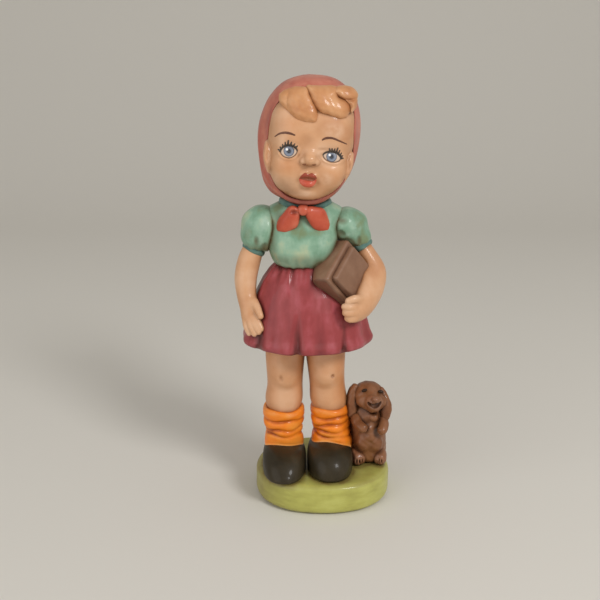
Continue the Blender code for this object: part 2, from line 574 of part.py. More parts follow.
dog_left_forepaw = place("dog_left_forepaw", swell([
    (40.4, -4.0, 56.0, 3.2, 3.4), (40.6, -9.0, 51.4, 3.4, 3.4), (38.8, -12.6, 48.8, 3.0, 3.0),
    (38.0, -14.4, 46.4, 2.2, 2.2)], segments=10, rings=8), "dog_brown")
dog_right_foot = place("dog_right_foot", swell([
    (23.4, 3.0, 25.0, 4.5, 5.0), (24.2, -4.0, 25.0, 5.6, 5.4), (25.4, -10.5, 23.8, 4.2, 3.6)],
    segments=12, rings=8), "dog_brown")
dog_left_foot = place("dog_left_foot", swell([
    (40.0, 3.0, 25.0, 4.0, 5.0), (40.2, -4.0, 25.0, 4.9, 5.4), (40.0, -10.0, 23.8, 4.0, 3.6)],
    segments=12, rings=8), "dog_brown")
dog_tail = place("dog_tail", swell([
    (31.6, 15.0, 25.0, 2.6, 2.6), (30.5, 20.0, 24.2, 2.4, 2.4), (26.0, 22.0, 23.6, 2.0, 2.0),
    (22.0, 20.4, 23.4, 1.5, 1.5)], side=(0, 0, 1), segments=8, rings=8), "dog_brown")
carve(dog_body, base, dog_head, left_sock, left_shoe, left_leg)
carve(dog_right_ear, dog_head, dog_body, left_leg, left_sock)
carve(dog_left_ear, dog_head, dog_body)
carve(dog_right_forepaw, dog_body, left_sock)
carve(dog_left_forepaw, dog_body, dog_left_ear)
carve(dog_right_foot, base, dog_body, left_shoe, left_sock)
carve(dog_left_foot, base, dog_body)
carve(dog_tail, base, dog_body)
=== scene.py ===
import math

import bpy
import numpy as np
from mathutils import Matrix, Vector


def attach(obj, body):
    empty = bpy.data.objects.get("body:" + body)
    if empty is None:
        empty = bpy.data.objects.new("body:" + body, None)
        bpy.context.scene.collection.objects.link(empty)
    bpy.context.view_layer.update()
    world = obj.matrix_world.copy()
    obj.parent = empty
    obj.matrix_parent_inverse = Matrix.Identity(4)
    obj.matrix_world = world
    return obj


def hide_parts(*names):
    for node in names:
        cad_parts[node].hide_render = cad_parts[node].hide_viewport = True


# The figurine is modelled as closed fields in millimetres, in the row frame: Z up,
# the figure looks along -Y and her left is +X. Each casting stands for one CAD node,
# and the painted features of the faces have none.

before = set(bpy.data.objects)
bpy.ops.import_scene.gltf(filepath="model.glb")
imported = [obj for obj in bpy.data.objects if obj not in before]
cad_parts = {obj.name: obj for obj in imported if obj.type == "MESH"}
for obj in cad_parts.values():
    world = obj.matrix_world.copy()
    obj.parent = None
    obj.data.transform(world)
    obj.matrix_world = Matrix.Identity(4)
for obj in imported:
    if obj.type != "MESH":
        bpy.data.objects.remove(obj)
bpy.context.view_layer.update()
coarse = 1.0
metre = 0.001

modelKit = {
    "clayLow": (-70.0, -56.0, -8.0), "clayHigh": (64.0, 56.0, 292.0), "clayCell": 1.0,
    "clayFar": 12.0, "clayMargin": 7,
    "pathSamples": 160, "stackSamples": 120, "outlineSamples": 5, "strokeSamples": 24,
    "border": 2.0, "tightenings": 3, "tightenReach": 0.6}


def lattice(low, high, cell):
    axes = []
    for i in range(3):
        count = int(math.ceil((high[i] - low[i]) / cell)) + 1
        axes.append((low[i] + cell * np.arange(count)).astype(np.float32))
    return axes[0][:, None, None], axes[1][None, :, None], axes[2][None, None, :]


def smoothRows(stations, count):
    # A smooth curve through the stations, in evenly spread rows.
    points = np.array(stations, dtype=np.float64)
    padded = np.vstack([points[:1], points, points[-1:]])
    rows = []
    for step in np.linspace(0.0, len(points) - 1.0, count):
        k = min(int(step), len(points) - 2)
        f = step - k
        a, b, c, d = padded[k:k + 4]
        rows.append(0.5 * (2 * b + (c - a) * f + (2 * a - 5 * b + 4 * c - d) * f ** 2
                           + (3 * b - a - 3 * c + d) * f ** 3))
    return np.array(rows)


def blob(p, centre, radii, axes=None):
    q = [p[i] - centre[i] for i in range(3)]
    if axes is not None:
        q = [q[0] * axis[0] + q[1] * axis[1] + q[2] * axis[2] for axis in axes]
    near = np.sqrt(sum((q[i] / radii[i]) ** 2 for i in range(3)))
    slope = np.sqrt(sum((q[i] / radii[i] ** 2) ** 2 for i in range(3)))
    return near * (near - 1.0) / np.maximum(slope, 1e-5)


def block(p, centre, radii, squareness, rise=2.0):
    # An egg whose level sections are squarer than ovals.
    q = [np.abs(p[i] - centre[i]) / radii[i] for i in range(3)]
    ring = (q[0] ** squareness + q[1] ** squareness) ** (1.0 / squareness)
    return ((ring ** rise + q[2] ** rise) ** (1.0 / rise) - 1.0) * min(radii)


def sweep(p, stations, side=(1, 0, 0), count=22):
    # A rounded form along a path. A station is x, y, z, half width along side, half depth.
    rows = smoothRows(stations, modelKit["pathSamples"])
    run = np.concatenate([[0.0], np.cumsum(np.linalg.norm(np.diff(rows[:, :3], axis=0), axis=1))])
    caps = (rows[:, 3] + rows[:, 4]) / 2.0
    fits = run[(run >= caps) & (run + caps <= run[-1])]    # the rounded ends stay within the path
    first, last = (fits[0], fits[-1] + 0.01) if len(fits) else (run[-1] / 2.0, run[-1] / 2.0 + 0.01)
    marks = np.linspace(first, last, count)
    rows = np.array([np.interp(marks, run, rows[:, j]) for j in range(5)]).T
    side = np.array(side, dtype=np.float64)
    best = None
    for a, b in zip(rows[:-1], rows[1:]):
        leg = b[:3] - a[:3]
        length = np.linalg.norm(leg)
        along = leg / length
        across = side - along * (side @ along)
        across /= np.linalg.norm(across)
        off = [p[i] - a[i] for i in range(3)]
        ahead = sum(off[i] * along[i] for i in range(3))
        t = np.clip(ahead / length, 0.0, 1.0)
        beyond = ahead - t * length
        u = sum(off[i] * across[i] for i in range(3))
        rest = np.maximum(sum(off[i] ** 2 for i in range(3)) - ahead ** 2 - u ** 2, 0.0)
        wide = a[3] + t * (b[3] - a[3])
        deep = a[4] + t * (b[4] - a[4])
        ratio = np.sqrt((u / wide) ** 2 + rest / deep ** 2 + (beyond * 2.0 / (wide + deep)) ** 2)
        found = (ratio - 1.0) * np.minimum(wide, deep)
        best = found if best is None else np.minimum(best, found)
    return best


def stack(p, stations, soft=1.5, squareness=2.0):
    # An upright form from oval sections, listed from the top down.
    rows = smoothRows(stations, modelKit["stackSamples"])[::-1]
    x, y, wide, deep = [np.interp(p[2], rows[:, 2], rows[:, j]).astype(np.float32) for j in (0, 1, 3, 4)]
    across, through = np.abs((p[0] - x) / wide), np.abs((p[1] - y) / deep)
    ratio = (across ** squareness + through ** squareness) ** (1.0 / squareness)
    wall = (ratio - 1.0) * np.minimum(wide, deep)
    ends = np.maximum(p[2] - rows[-1, 2], rows[0, 2] - p[2])
    return -join(-wall, -ends, soft)


def join(a, b, soft):
    h = np.clip(0.5 + 0.5 * (b - a) / soft, 0.0, 1.0)
    return b * (1.0 - h) + a * h - soft * h * (1.0 - h)


def cut(a, b, soft):
    return -join(-a, b, soft)


def both(a, b, soft):
    return -join(-a, -b, soft)


def outlineDistance(u, v, outline):
    # How far a place lies inside a closed outline, below zero outside it.
    points = np.array(outline, dtype=np.float64)
    fine = modelKit["outlineSamples"]
    ring = smoothRows(np.vstack([points[-2:], points, points[:2]]), (len(points) + 3) * fine + 1)
    ring = ring[2 * fine:-2 * fine]
    inside = np.zeros(np.broadcast(u, v).shape, dtype=bool)
    best = np.full(inside.shape, 1e9)
    for a, b in zip(ring, np.roll(ring, -1, axis=0)):
        edge = b - a
        size = edge @ edge
        if size < 1e-9:
            continue
        t = np.clip(((u - a[0]) * edge[0] + (v - a[1]) * edge[1]) / size, 0.0, 1.0)
        best = np.minimum(best, (u - a[0] - t * edge[0]) ** 2 + (v - a[1] - t * edge[1]) ** 2)
        if abs(edge[1]) > 1e-9:
            inside ^= ((a[1] <= v) != (b[1] <= v)) & (u < edge[0] * (v - a[1]) / edge[1] + a[0])
    return np.where(inside, 1.0, -1.0) * np.sqrt(best)


def strokeDistance(u, v, points):
    # How far a place lies inside a brush stroke; a point is x, z and half width.
    rows = smoothRows(points, modelKit["strokeSamples"])
    best = None
    for a, b in zip(rows[:-1], rows[1:]):
        edge = b - a
        size = edge[0] ** 2 + edge[1] ** 2
        t = np.clip(((u - a[0]) * edge[0] + (v - a[1]) * edge[1]) / size, 0.0, 1.0)
        gap = np.sqrt((u - a[0] - t * edge[0]) ** 2 + (v - a[1] - t * edge[1]) ** 2)
        found = a[2] + t * edge[2] - gap
        best = found if best is None else np.maximum(best, found)
    return best


def pillow(q, outline, middle, depth, edge):
    # A cushion on an outline seen from the front, rounded over its edge.
    fall = np.maximum(1.0 - outlineDistance(q[0], q[2], outline) / edge, 0.0)
    return (np.sqrt(fall ** 2 + ((q[1] - middle) / depth) ** 2) - 1.0) * min(edge, depth)


def softSpots(p, spots):
    # Soft spots of glaze on the front; a spot is x, z, two reaches and strength.
    total = 0.0
    for x, z, wide, tall, gain in spots:
        total = total + gain * np.exp(-((p[0] - x) / wide) ** 2 - ((p[2] - z) / tall) ** 2)
    return total * (p[1] < 0)


def sample(grid, low, cell, points):
    # Values of a field at free points, from its lattice.
    spot = (points - low) / cell
    spot = np.clip(spot, 0.0, np.array(grid.shape) - 1.001)
    base = spot.astype(np.int32)
    f = spot - base
    total = 0.0
    for dx in (0, 1):
        for dy in (0, 1):
            for dz in (0, 1):
                weight = (f[:, 0] if dx else 1 - f[:, 0]) * (f[:, 1] if dy else 1 - f[:, 1])
                weight = weight * (f[:, 2] if dz else 1 - f[:, 2])
                total = total + weight * grid[base[:, 0] + dx, base[:, 1] + dy, base[:, 2] + dz]
    return total


def skin(values, low, cell):
    # Quads over the zero level of a field, drawn tight onto it.
    inside = values < 0
    total = np.zeros([n - 1 for n in values.shape], dtype=np.uint8)
    for dx in (0, 1):
        for dy in (0, 1):
            for dz in (0, 1):
                total += inside[dx:dx + total.shape[0], dy:dy + total.shape[1], dz:dz + total.shape[2]]
    active = (total > 0) & (total < 8)
    index = np.full(total.shape, -1, dtype=np.int64)
    cells = np.argwhere(active)
    index[active] = np.arange(len(cells))
    place = np.zeros((len(cells), 3))
    hits = np.zeros(len(cells))
    for axis in range(3):
        for one in (0, 1):
            for two in (0, 1):
                start = np.zeros(3, dtype=np.int64)
                start[(axis + 1) % 3] = one
                start[(axis + 2) % 3] = two
                end = start.copy()
                end[axis] = 1
                a = values[tuple((cells + start).T)]
                b = values[tuple((cells + end).T)]
                crossed = (a < 0) != (b < 0)
                t = np.where(crossed, a / np.where(crossed, a - b, 1.0), 0.0)
                place += np.where(crossed[:, None], start + t[:, None] * (end - start), 0.0)
                hits += crossed
    verts = low + cell * (cells + place / hits[:, None])
    faces = []
    for axis in range(3):
        one, two = (axis + 1) % 3, (axis + 2) % 3
        head = [slice(None)] * 3
        tail = [slice(None)] * 3
        head[axis] = slice(0, -1)
        tail[axis] = slice(1, None)
        a, b = inside[tuple(head)], inside[tuple(tail)]
        edges = np.argwhere(a != b)
        keep = (edges[:, one] > 0) & (edges[:, two] > 0)
        keep &= (edges[:, one] < values.shape[one] - 1) & (edges[:, two] < values.shape[two] - 1)
        edges = edges[keep]
        outward = a[tuple(edges.T)]
        ring = []
        for back in ((1, 1), (0, 1), (0, 0), (1, 0)):
            near = edges.copy()
            near[:, one] -= back[0]
            near[:, two] -= back[1]
            ring.append(index[tuple(near.T)])
        quads = np.stack(ring, axis=1)
        quads[~outward] = quads[~outward][:, ::-1]
        faces.append(quads)
    slopes = [g.astype(np.float32) for g in np.gradient(values, cell)]
    for _ in range(modelKit["tightenings"]):
        level = sample(values, low, cell, verts)
        slope = np.stack([sample(g, low, cell, verts) for g in slopes], axis=1)
        step = -level[:, None] * slope / (np.sum(slope ** 2, axis=1)[:, None] + 1e-9)
        size = np.linalg.norm(step, axis=1)[:, None]
        verts = verts + step * np.minimum(1.0, modelKit["tightenReach"] * cell / np.maximum(size, 1e-9))
    slope = np.stack([sample(g, low, cell, verts) for g in slopes], axis=1)
    normals = slope / np.maximum(np.linalg.norm(slope, axis=1)[:, None], 1e-9)
    return verts, np.concatenate(faces), normals


clayAxes = lattice(modelKit["clayLow"], modelKit["clayHigh"], modelKit["clayCell"])
clay = np.full([axis.size for axis in clayAxes], modelKit["clayFar"], dtype=np.float32)
castings = []


def meshObject(name, verts, faces):
    mesh = bpy.data.meshes.new(name)
    mesh.vertices.add(len(verts))
    mesh.vertices.foreach_set("co", (np.asarray(verts) * metre).astype(np.float32).ravel())
    mesh.loops.add(faces.size)
    mesh.loops.foreach_set("vertex_index", faces.astype(np.int32).ravel())
    mesh.polygons.add(len(faces))
    mesh.polygons.foreach_set("loop_start", np.arange(0, faces.size, faces.shape[1], dtype=np.int32))
    mesh.update(calc_edges=True)
    mesh.validate()
    mesh.polygons.foreach_set("use_smooth", np.ones(len(mesh.polygons), dtype=bool))
    obj = bpy.data.objects.new(name, mesh)
    bpy.context.scene.collection.objects.link(obj)
    return obj


def pieceName(owner, which):
    return owner + which[0].upper() + which[1:] + "Casting"


def nodeName(name):
    # rightLegCasting stands for the CAD node right_leg; a painted feature has no node.
    words = "".join("_" + c.lower() if c.isupper() else c for c in name).split("_")
    return "_".join(words[:-1]) if words[-1] == "casting" else None


def cast(name, shape, low, high, cell, glaze, **wear):
    # One piece. The wear gives what the paint reads by place: brown stain and painted shade, pale places and
    # painted highlights, and other marks.
    kit = modelKit
    cell = cell * coarse
    low = np.array(low, dtype=np.float64) - kit["border"] * cell
    high = np.array(high, dtype=np.float64) + kit["border"] * cell
    values = np.broadcast_to(shape(lattice(low, high, cell)), [
        int(math.ceil((high[i] - low[i]) / cell)) + 1 for i in range(3)]).astype(np.float32)
    verts, faces, normals = skin(values, low, cell)
    node = nodeName(name)
    if node:
        windows = []
        for i in range(3):
            start = int(max(0, (low[i] - kit["clayMargin"] - kit["clayLow"][i]) / kit["clayCell"]))
            stop = int((high[i] + kit["clayMargin"] - kit["clayLow"][i]) / kit["clayCell"]) + 1
            windows.append(slice(start, stop))
        part = (clayAxes[0][windows[0]], clayAxes[1][:, windows[1]], clayAxes[2][:, :, windows[2]])
        clay[tuple(windows)] = np.minimum(clay[tuple(windows)], shape(part))
    castings.append({
        "obj": meshObject(name, verts, faces), "node": node, "glaze": glaze,
        "verts": verts, "normals": normals,
        "wear": {label: rule(verts.T) for label, rule in wear.items()}})
    print("cast", name, len(faces) * 2, "triangles")


# Base

baseShape = {
    "halfWidth": 45.7, "halfDepth": 41.0, "height": 20.0, "squareness": 2.25, "edge": 2.6,
    "radius": 43.0, "inset": 0.3,
    # slow waves over top and wall, and how far each of the two follows them
    "swell": 0.25, "swellWaves": (0.21, 0.24), "wallWave": 0.1, "wallShare": 0.5, "topShare": 0.4,
    # strength, place and reach of the painted shade on her right, and of the darkening on the top between
    # her and the puppy
    "paintedSideShade": (0.42, -16.0, 26.0), "topDarkening": (0.32, 20.0, -20.0, 18.0, 16.0), "topFrom": 18.5}


def baseField(p):
    s = baseShape
    n = s["squareness"]
    ripple = s["swell"] * np.sin(p[0] * s["swellWaves"][0] + 1.0) * np.cos(p[1] * s["swellWaves"][1])
    ripple = ripple + s["wallWave"] * np.sin(p[2] * 0.5 + p[0] * 0.1)
    reach = (np.abs(p[0] / s["halfWidth"]) ** n + np.abs(p[1] / s["halfDepth"]) ** n) ** (1.0 / n)
    wall = (reach - 1.0) * s["radius"] + s["wallShare"] * ripple
    ends = np.maximum(p[2] - s["height"] - s["topShare"] * ripple, -p[2])
    return both(wall + s["inset"], ends, 2.0 * s["edge"])


def baseShadeAndTopDarkening(p):
    # Painted shade on her right side, and a darker top between her and the puppy.
    sideGain, start, reach = baseShape["paintedSideShade"]
    topGain, x, y, wide, deep = baseShape["topDarkening"]
    top = (p[2] > baseShape["topFrom"]) * np.exp(-((p[0] - x) / wide) ** 2 - ((p[1] - y) / deep) ** 2)
    return sideGain * np.clip((start - p[0]) / reach, 0.0, 1.0) + topGain * top


cast("baseCasting", baseField, (-46, -41.5, 0), (46, 41.5, 20.6), 0.7, "base_green", stain=baseShadeAndTopDarkening)

# Legs, socks and shoes

legShape = {
    "right": [(-24.6, 0.0, 119.0, 9.0, 9.0), (-24.8, 0.0, 110.0, 13.4, 13.0),
              (-25.2, -0.5, 99.0, 13.2, 13.2), (-25.4, -1.2, 88.0, 12.4, 13.2),
              (-25.5, 0.2, 77.0, 11.9, 12.0), (-26.2, 0.8, 66.0, 12.6, 12.8), (-26.4, 0.0, 57.0, 10.2, 10.4),
              (-26.4, 0.0, 50.0, 7.0, 7.0)],
    "left": [(1.2, 0.0, 119.0, 9.0, 9.0), (1.4, 0.0, 110.0, 13.4, 13.0), (1.6, -0.5, 99.0, 13.2, 13.2),
             (2.1, -1.2, 88.0, 12.3, 13.2), (2.9, 0.2, 77.0, 11.9, 12.0), (3.9, 0.8, 66.0, 12.4, 12.8),
             (4.9, 0.0, 57.0, 10.0, 10.2), (5.2, 0.0, 50.0, 7.0, 7.0)],
    "knees": {"right": (-24.4, -9.2, 84.4), "left": (1.2, -9.2, 85.4)}, "kneeSize": (5.6, 5.4, 6.4),
    "kneeBlend": 4.0, "dimpleBlend": 1.6,
    "dimples": {"right": ((-28.0, -14.9, 85.4), (0.8, 1.5, 2.0)),
                "left": ((6.1, -15.0, 87.0), (0.8, 2.2, 1.0))},
    # brown in the dimple and all over, and painted shade down the sides; start and reach of a side; blush
    # from front to side
    "dimpleStain": {"right": 0.2, "left": 0.9}, "stain": (0.04, 0.18), "side": (4.0, 7.0),
    "warmth": (0.6, 1.9)}
sockShape = {
    "right": {"top": (-26.8, 14.3), "low": (-26.5, 13.0), "rim": (61.6, -1.0, 0.2), "turn": 0.3,
              "creases": [(53.6, 0.0, 0.3), (47.2, -0.2, 0.4), (43.0, 0.2, -0.3)]},
    "left": {"top": (4.2, 13.0), "low": (6.4, 13.8), "rim": (62.6, -0.2, 0.2), "turn": -0.5,
             "creases": [(55.8, -0.2, 0.5), (50.8, 0.0, 1.3), (46.0, 0.2, -0.2), (42.6, 0.0, -1.0)]},
    "bottom": 28.0, "slouch": (62.0, 22.0), "rimWave": 0.5, "lumps": (0.3, 0.35), "slack": 0.8, "edge": 2.6,
    "groove": 1.9, "grooveWidth": 1.4, "grooveEdge": 1.3, "grooveReach": (0.68, 0.32), "waver": 0.6,
    "stain": 0.29, "paleReach": 1.5}
shoeShape = {
    # middle, half width, height, fall to the sides and highest place; the toe slopes and rounds
    "right": (-25.9, 14.6, 36.8, 3.2, -1.5), "left": (4.9, 15.4, 39.4, 6.4, -1.0), "back": 20.0,
    "toe": {"right": -38.4, "left": -35.4},
    "squareness": 2.35, "slope": (-12.0, -36.0), "toeFall": 5.6, "rounding": (5.0, 11.5), "sole": 2.2,
    "sideRise": 0.6, "ground": 20.1}


def legField(which):
    def field(p):
        d = stack(p, legShape[which])
        d = join(d, blob(p, legShape["knees"][which], legShape["kneeSize"]), legShape["kneeBlend"])
        return cut(d, blob(p, *legShape["dimples"][which]), legShape["dimpleBlend"])
    return field


def legSide(which, p):
    start, reach = legShape["side"]
    return np.clip((np.abs(p[0] - legShape["knees"][which][0]) - start) / reach, 0.0, 1.0)


def legStainAndShade(which, p):
    # Brown of the glaze in a leg's dimple and a little all over, and painted shade down its sides.
    (x, _, z), (wide, _, tall) = legShape["dimples"][which]
    overall, sides = legShape["stain"]
    spot = softSpots(p, [(x, z, wide, tall, legShape["dimpleStain"][which])])
    return overall + sides * legSide(which, p) + spot


def sockCreases(which, p):
    # How deep the slouched sock is creased, in millimetres.
    kit, s = sockShape, sockShape[which]
    turn = np.arctan2(p[1], p[0] - s["top"][0])
    front, across = -np.sin(turn), np.cos(turn)
    depth = 0.0
    for k, (height, dip, tilt) in enumerate(s["creases"]):
        line = height + dip * front + tilt * across + kit["waver"] * np.sin(4 * turn + k * 2.1 + s["turn"])
        reach = kit["grooveReach"][0] + kit["grooveReach"][1] * np.cos(2 * turn + 3.1 + 0.8 * k + s["turn"])
        fall = (np.abs(p[2] - line) / kit["grooveWidth"]) ** kit["grooveEdge"]
        depth = depth + kit["groove"] * reach * np.exp(-fall)
    return depth


def sockField(which):
    kit, s = sockShape, sockShape[which]

    def field(p):
        fall = np.clip((kit["slouch"][0] - p[2]) / kit["slouch"][1], 0.0, 1.0)
        x = s["top"][0] + (s["low"][0] - s["top"][0]) * fall
        radius = s["top"][1] + (s["low"][1] - s["top"][1]) * fall
        turn = np.arctan2(p[1], p[0] - x)
        height, dip, tilt = s["rim"]
        rim = height - dip * np.minimum(np.sin(turn),
                                        0.3) + tilt * np.cos(turn) + kit["rimWave"] * np.cos(3 * turn)
        radius = radius + kit["lumps"][0] * np.cos(5 * turn + s["turn"])
        radius = radius + kit["lumps"][1] * np.cos(2 * turn + p[2] * 0.35)
        wall = np.sqrt((p[0] - x) ** 2 + p[1] ** 2) - radius + sockCreases(which, p)
        return both(kit["slack"] * wall, np.maximum(p[2] - rim, kit["bottom"] - p[2]), kit["edge"])
    return field


def shoeField(which):
    s = shoeShape
    x, half, height, fall, peak = s[which]
    middle, reach = (s["back"] + s["toe"][which]) / 2.0, (s["back"] - s["toe"][which]) / 2.0
    n = s["squareness"]

    def field(p):
        along = np.abs((p[1] - middle) / reach)
        plan = ((np.abs((p[0] - x) / half) ** n + along ** n) ** (1.0 / n) - 1.0) * half
        t = np.clip((s["slope"][0] - p[1]) / (s["slope"][0] - s["slope"][1]), 0.0, 1.0)
        soft = s["rounding"][0] + (s["rounding"][1] - s["rounding"][0]) * t
        drop = fall * (1.0 - s["sideRise"] * t) * ((p[0] - x - peak) / half) ** 2 + s["toeFall"] * t ** 2
        d = both(plan, p[2] - height + drop, soft)
        return both(d, s["ground"] - p[2], s["sole"])
    return field


def sockPale(which, p):
    # The glaze stays pale where a sock meets its shoe.
    return np.clip(1.0 - shoeField(which)(p) / sockShape["paleReach"], 0.0, 1.0)


def sockStain(which, p):
    return sockShape["stain"] * sockCreases(which, p) - sockPale(which, p)


for which in ("right", "left"):
    x = sockShape[which]["top"][0]
    cast(which + "LegCasting", legField(which), (x - 17, -17, 50), (x + 17, 15, 119), 0.6, "skin",
         stain=lambda p: legStainAndShade(which, p),
         blush=lambda p: np.interp(legSide(which, p), (0.0, 1.0), legShape["warmth"]))
    cast(which + "SockCasting", sockField(which), (x - 18, -18, 29), (x + 18, 18, 66), 0.5, "sock_orange",
         stain=lambda p: sockStain(which, p), pale=lambda p: sockPale(which, p))
    cast(which + "ShoeCasting", shoeField(which), (x - 17, -40, 20), (x + 18, 21, 44), 0.55, "shoe_black")

# Skirt

skirtShape = {
    "axis": (-11.4, -10.9), "flatness": 0.81, "folds": 9, "waist": 163.0, "hem": 107.2,
    "profile": [(163.0, 17.0), (160.5, 20.6), (157.0, 24.0), (150.5, 28.8), (143.0, 32.8), (134.0, 36.4),
                (124.0, 39.2), (116.0, 41.2), (112.0, 43.0), (108.5, 43.6), (106.0, 42.6)],
    # x and z at both ends of a groove, its widths and its depths
    "grooves": [((-19.6, 163.0), (-21.2, 145.0), (1.2, 1.6), (3.2, 0.4)),
                ((-26.4, 162.5), (-32.0, 145.0), (1.3, 2.2), (2.2, 0.2)),
                ((-13.0, 162.5), (-13.4, 150.0), (1.2, 1.8), (0.9, 0.1)),
                ((-23.4, 162.5), (-26.0, 150.0), (1.0, 1.5), (1.6, 0.1)),
                ((-6.6, 162.5), (-4.4, 149.0), (1.3, 2.2), (1.0, 0.1)),
                ((-17.0, 134.0), (-17.2, 107.0), (1.2, 2.9), (0.2, 4.6)),
                ((12.9, 128.0), (12.5, 109.0), (1.2, 2.2), (0.2, 3.4)),
                ((-40.4, 126.0), (-41.6, 108.0), (1.4, 2.8), (0.2, 3.0)),
                ((-3.0, 146.0), (-2.0, 110.0), (3.0, 4.5), (0.2, 1.6)),
                ((-30.4, 146.0), (-31.6, 110.0), (2.8, 4.0), (0.2, 1.4))],
    "carve": 0.8, "carveEnd": 3.0, "stain": 0.24, "hang": 0.9, "edge": 5.0,
    # how far the folds and the gathers at the waist stand out, and the hem's lift and the hollow under it
    "foldShares": (0.65, 0.35), "foldSwing": 0.10, "foldDepth": (0.008, 0.024),
    "gathers": 25, "gatherSwing": 1.3, "gatherPlace": (0.04, 0.15), "gatherDepth": 0.016,
    "hemLift": 0.8, "hollow": (4.0, 37.0)}


def skirtCarving(p):
    # How deep the folds of the skirt's front are carved, in millimetres.
    depth = 0.0
    for top, bottom, wide, deep in skirtShape["grooves"]:
        t = np.clip((top[1] - p[2]) / (top[1] - bottom[1]), 0.0, 1.0)
        line = top[0] + (bottom[0] - top[0]) * t
        reach = np.exp(-((p[0] - line) / (wide[0] + (wide[1] - wide[0]) * t)) ** 2)
        over = np.maximum(p[2] - top[1], bottom[1] - p[2])
        within = np.clip(1.0 - over / skirtShape["carveEnd"], 0.0, 1.0) * (p[1] < 0)
        depth = depth + (deep[0] + (deep[1] - deep[0]) * t) * reach * within
    return depth


def skirtField(p):
    s = skirtShape
    heights = np.array([row[0] for row in s["profile"]])[::-1]
    radii = np.array([row[1] for row in s["profile"]])[::-1]
    fall = np.clip((s["waist"] - p[2]) / (s["waist"] - s["hem"]), 0.0, 1.0)
    x = p[0] - (s["axis"][0] + (s["axis"][1] - s["axis"][0]) * fall)
    y = p[1] / s["flatness"]
    turn = np.arctan2(y, x)
    swing = s["foldSwing"] * np.sin(3 * turn + 1.0)
    fold = s["foldShares"][0] * np.cos(s["folds"] * (turn + swing) + 0.47)
    fold = fold + s["foldShares"][1] * np.cos(5 * turn - 0.9)
    gathers = np.cos(s["gathers"] * turn + s["gatherSwing"] * np.sin(2 * turn))
    gathers = gathers * np.exp(-((fall - s["gatherPlace"][0]) / s["gatherPlace"][1]) ** 2)
    swell = (s["foldDepth"][0] + s["foldDepth"][1] * fall) * fold
    radius = np.interp(p[2], heights, radii) * (1.0 + swell + s["gatherDepth"] * gathers)
    wall = np.sqrt(x ** 2 + y ** 2) - radius + s["carve"] * skirtCarving(p)
    lift = s["hemLift"] * fall ** 2 * fold
    dish = s["hollow"][0] * np.clip(1.0 - (np.sqrt(x ** 2 + y ** 2) / s["hollow"][1]) ** 6, 0.0, 1.0)
    ends = np.maximum(p[2] - s["waist"], s["hem"] + lift + dish - p[2])
    return both(wall * s["hang"], ends, s["edge"])


cast("skirtCasting", skirtField, (-56, -37, 106), (35, 37, 164), 0.55, "skirt_red",
     stain=lambda p: skirtShape["stain"] * skirtCarving(p))

# Bodice, collar, sleeves and cuffs

bodiceShape = {
    "stations": [(-12.2, 1.0, 203.0, 6.0, 5.0), (-12.2, 0.8, 200.0, 14.5, 12.0),
                 (-12.4, 0.5, 194.0, 19.4, 15.5), (-12.8, 0.0, 185.0, 22.4, 18.5),
                 (-13.6, -0.8, 174.0, 22.4, 20.2), (-13.0, -0.6, 166.0, 21.2, 19.4),
                 (-11.8, 0.0, 160.5, 18.0, 16.2), (-11.5, 0.0, 156.0, 8.0, 8.0)], "squareness": 2.7,
    "shoulders": [(-38.0, 1.0, 188.5, 8.0, 7.0), (-26.0, 0.8, 193.0, 10.5, 7.5),
                  (-12.0, 0.6, 195.5, 12.0, 8.0), (2.0, 0.8, 192.6, 10.5, 7.5),
                  (14.0, 1.0, 187.5, 8.0, 7.0)],
    # x, z, two reaches and strength of the painted shade, mostly down her right side and along the waist,
    # and of the lighter places
    "stains": [(-33.0, 176.0, 3.6, 12.0, 0.3), (-29.0, 193.0, 3.0, 6.0, 0.3), (-15.6, 166.4, 9.0, 4.6, 0.42),
               (-4.0, 165.6, 6.0, 3.6, 0.2), (-28.0, 166.0, 5.0, 3.4, 0.3), (-5.6, 178.0, 1.6, 9.0, 0.14)],
    "pales": [(1.6, 190.0, 3.0, 9.0, 0.7), (-2.0, 178.0, 3.0, 8.0, 0.5)],
    "shoulderBlend": 5.0, "gathers": 17, "gatherDepth": 0.35, "gatherPlace": (163.0, 4.5)}
collarShape = {"centre": (-12.0, 0.0, 199.8), "axis": (0.05, -0.1, 1.0), "radius": 14.4,
               "thick": 2.6, "tall": 3.8, "flat": 0.92, "wave": 0.3}
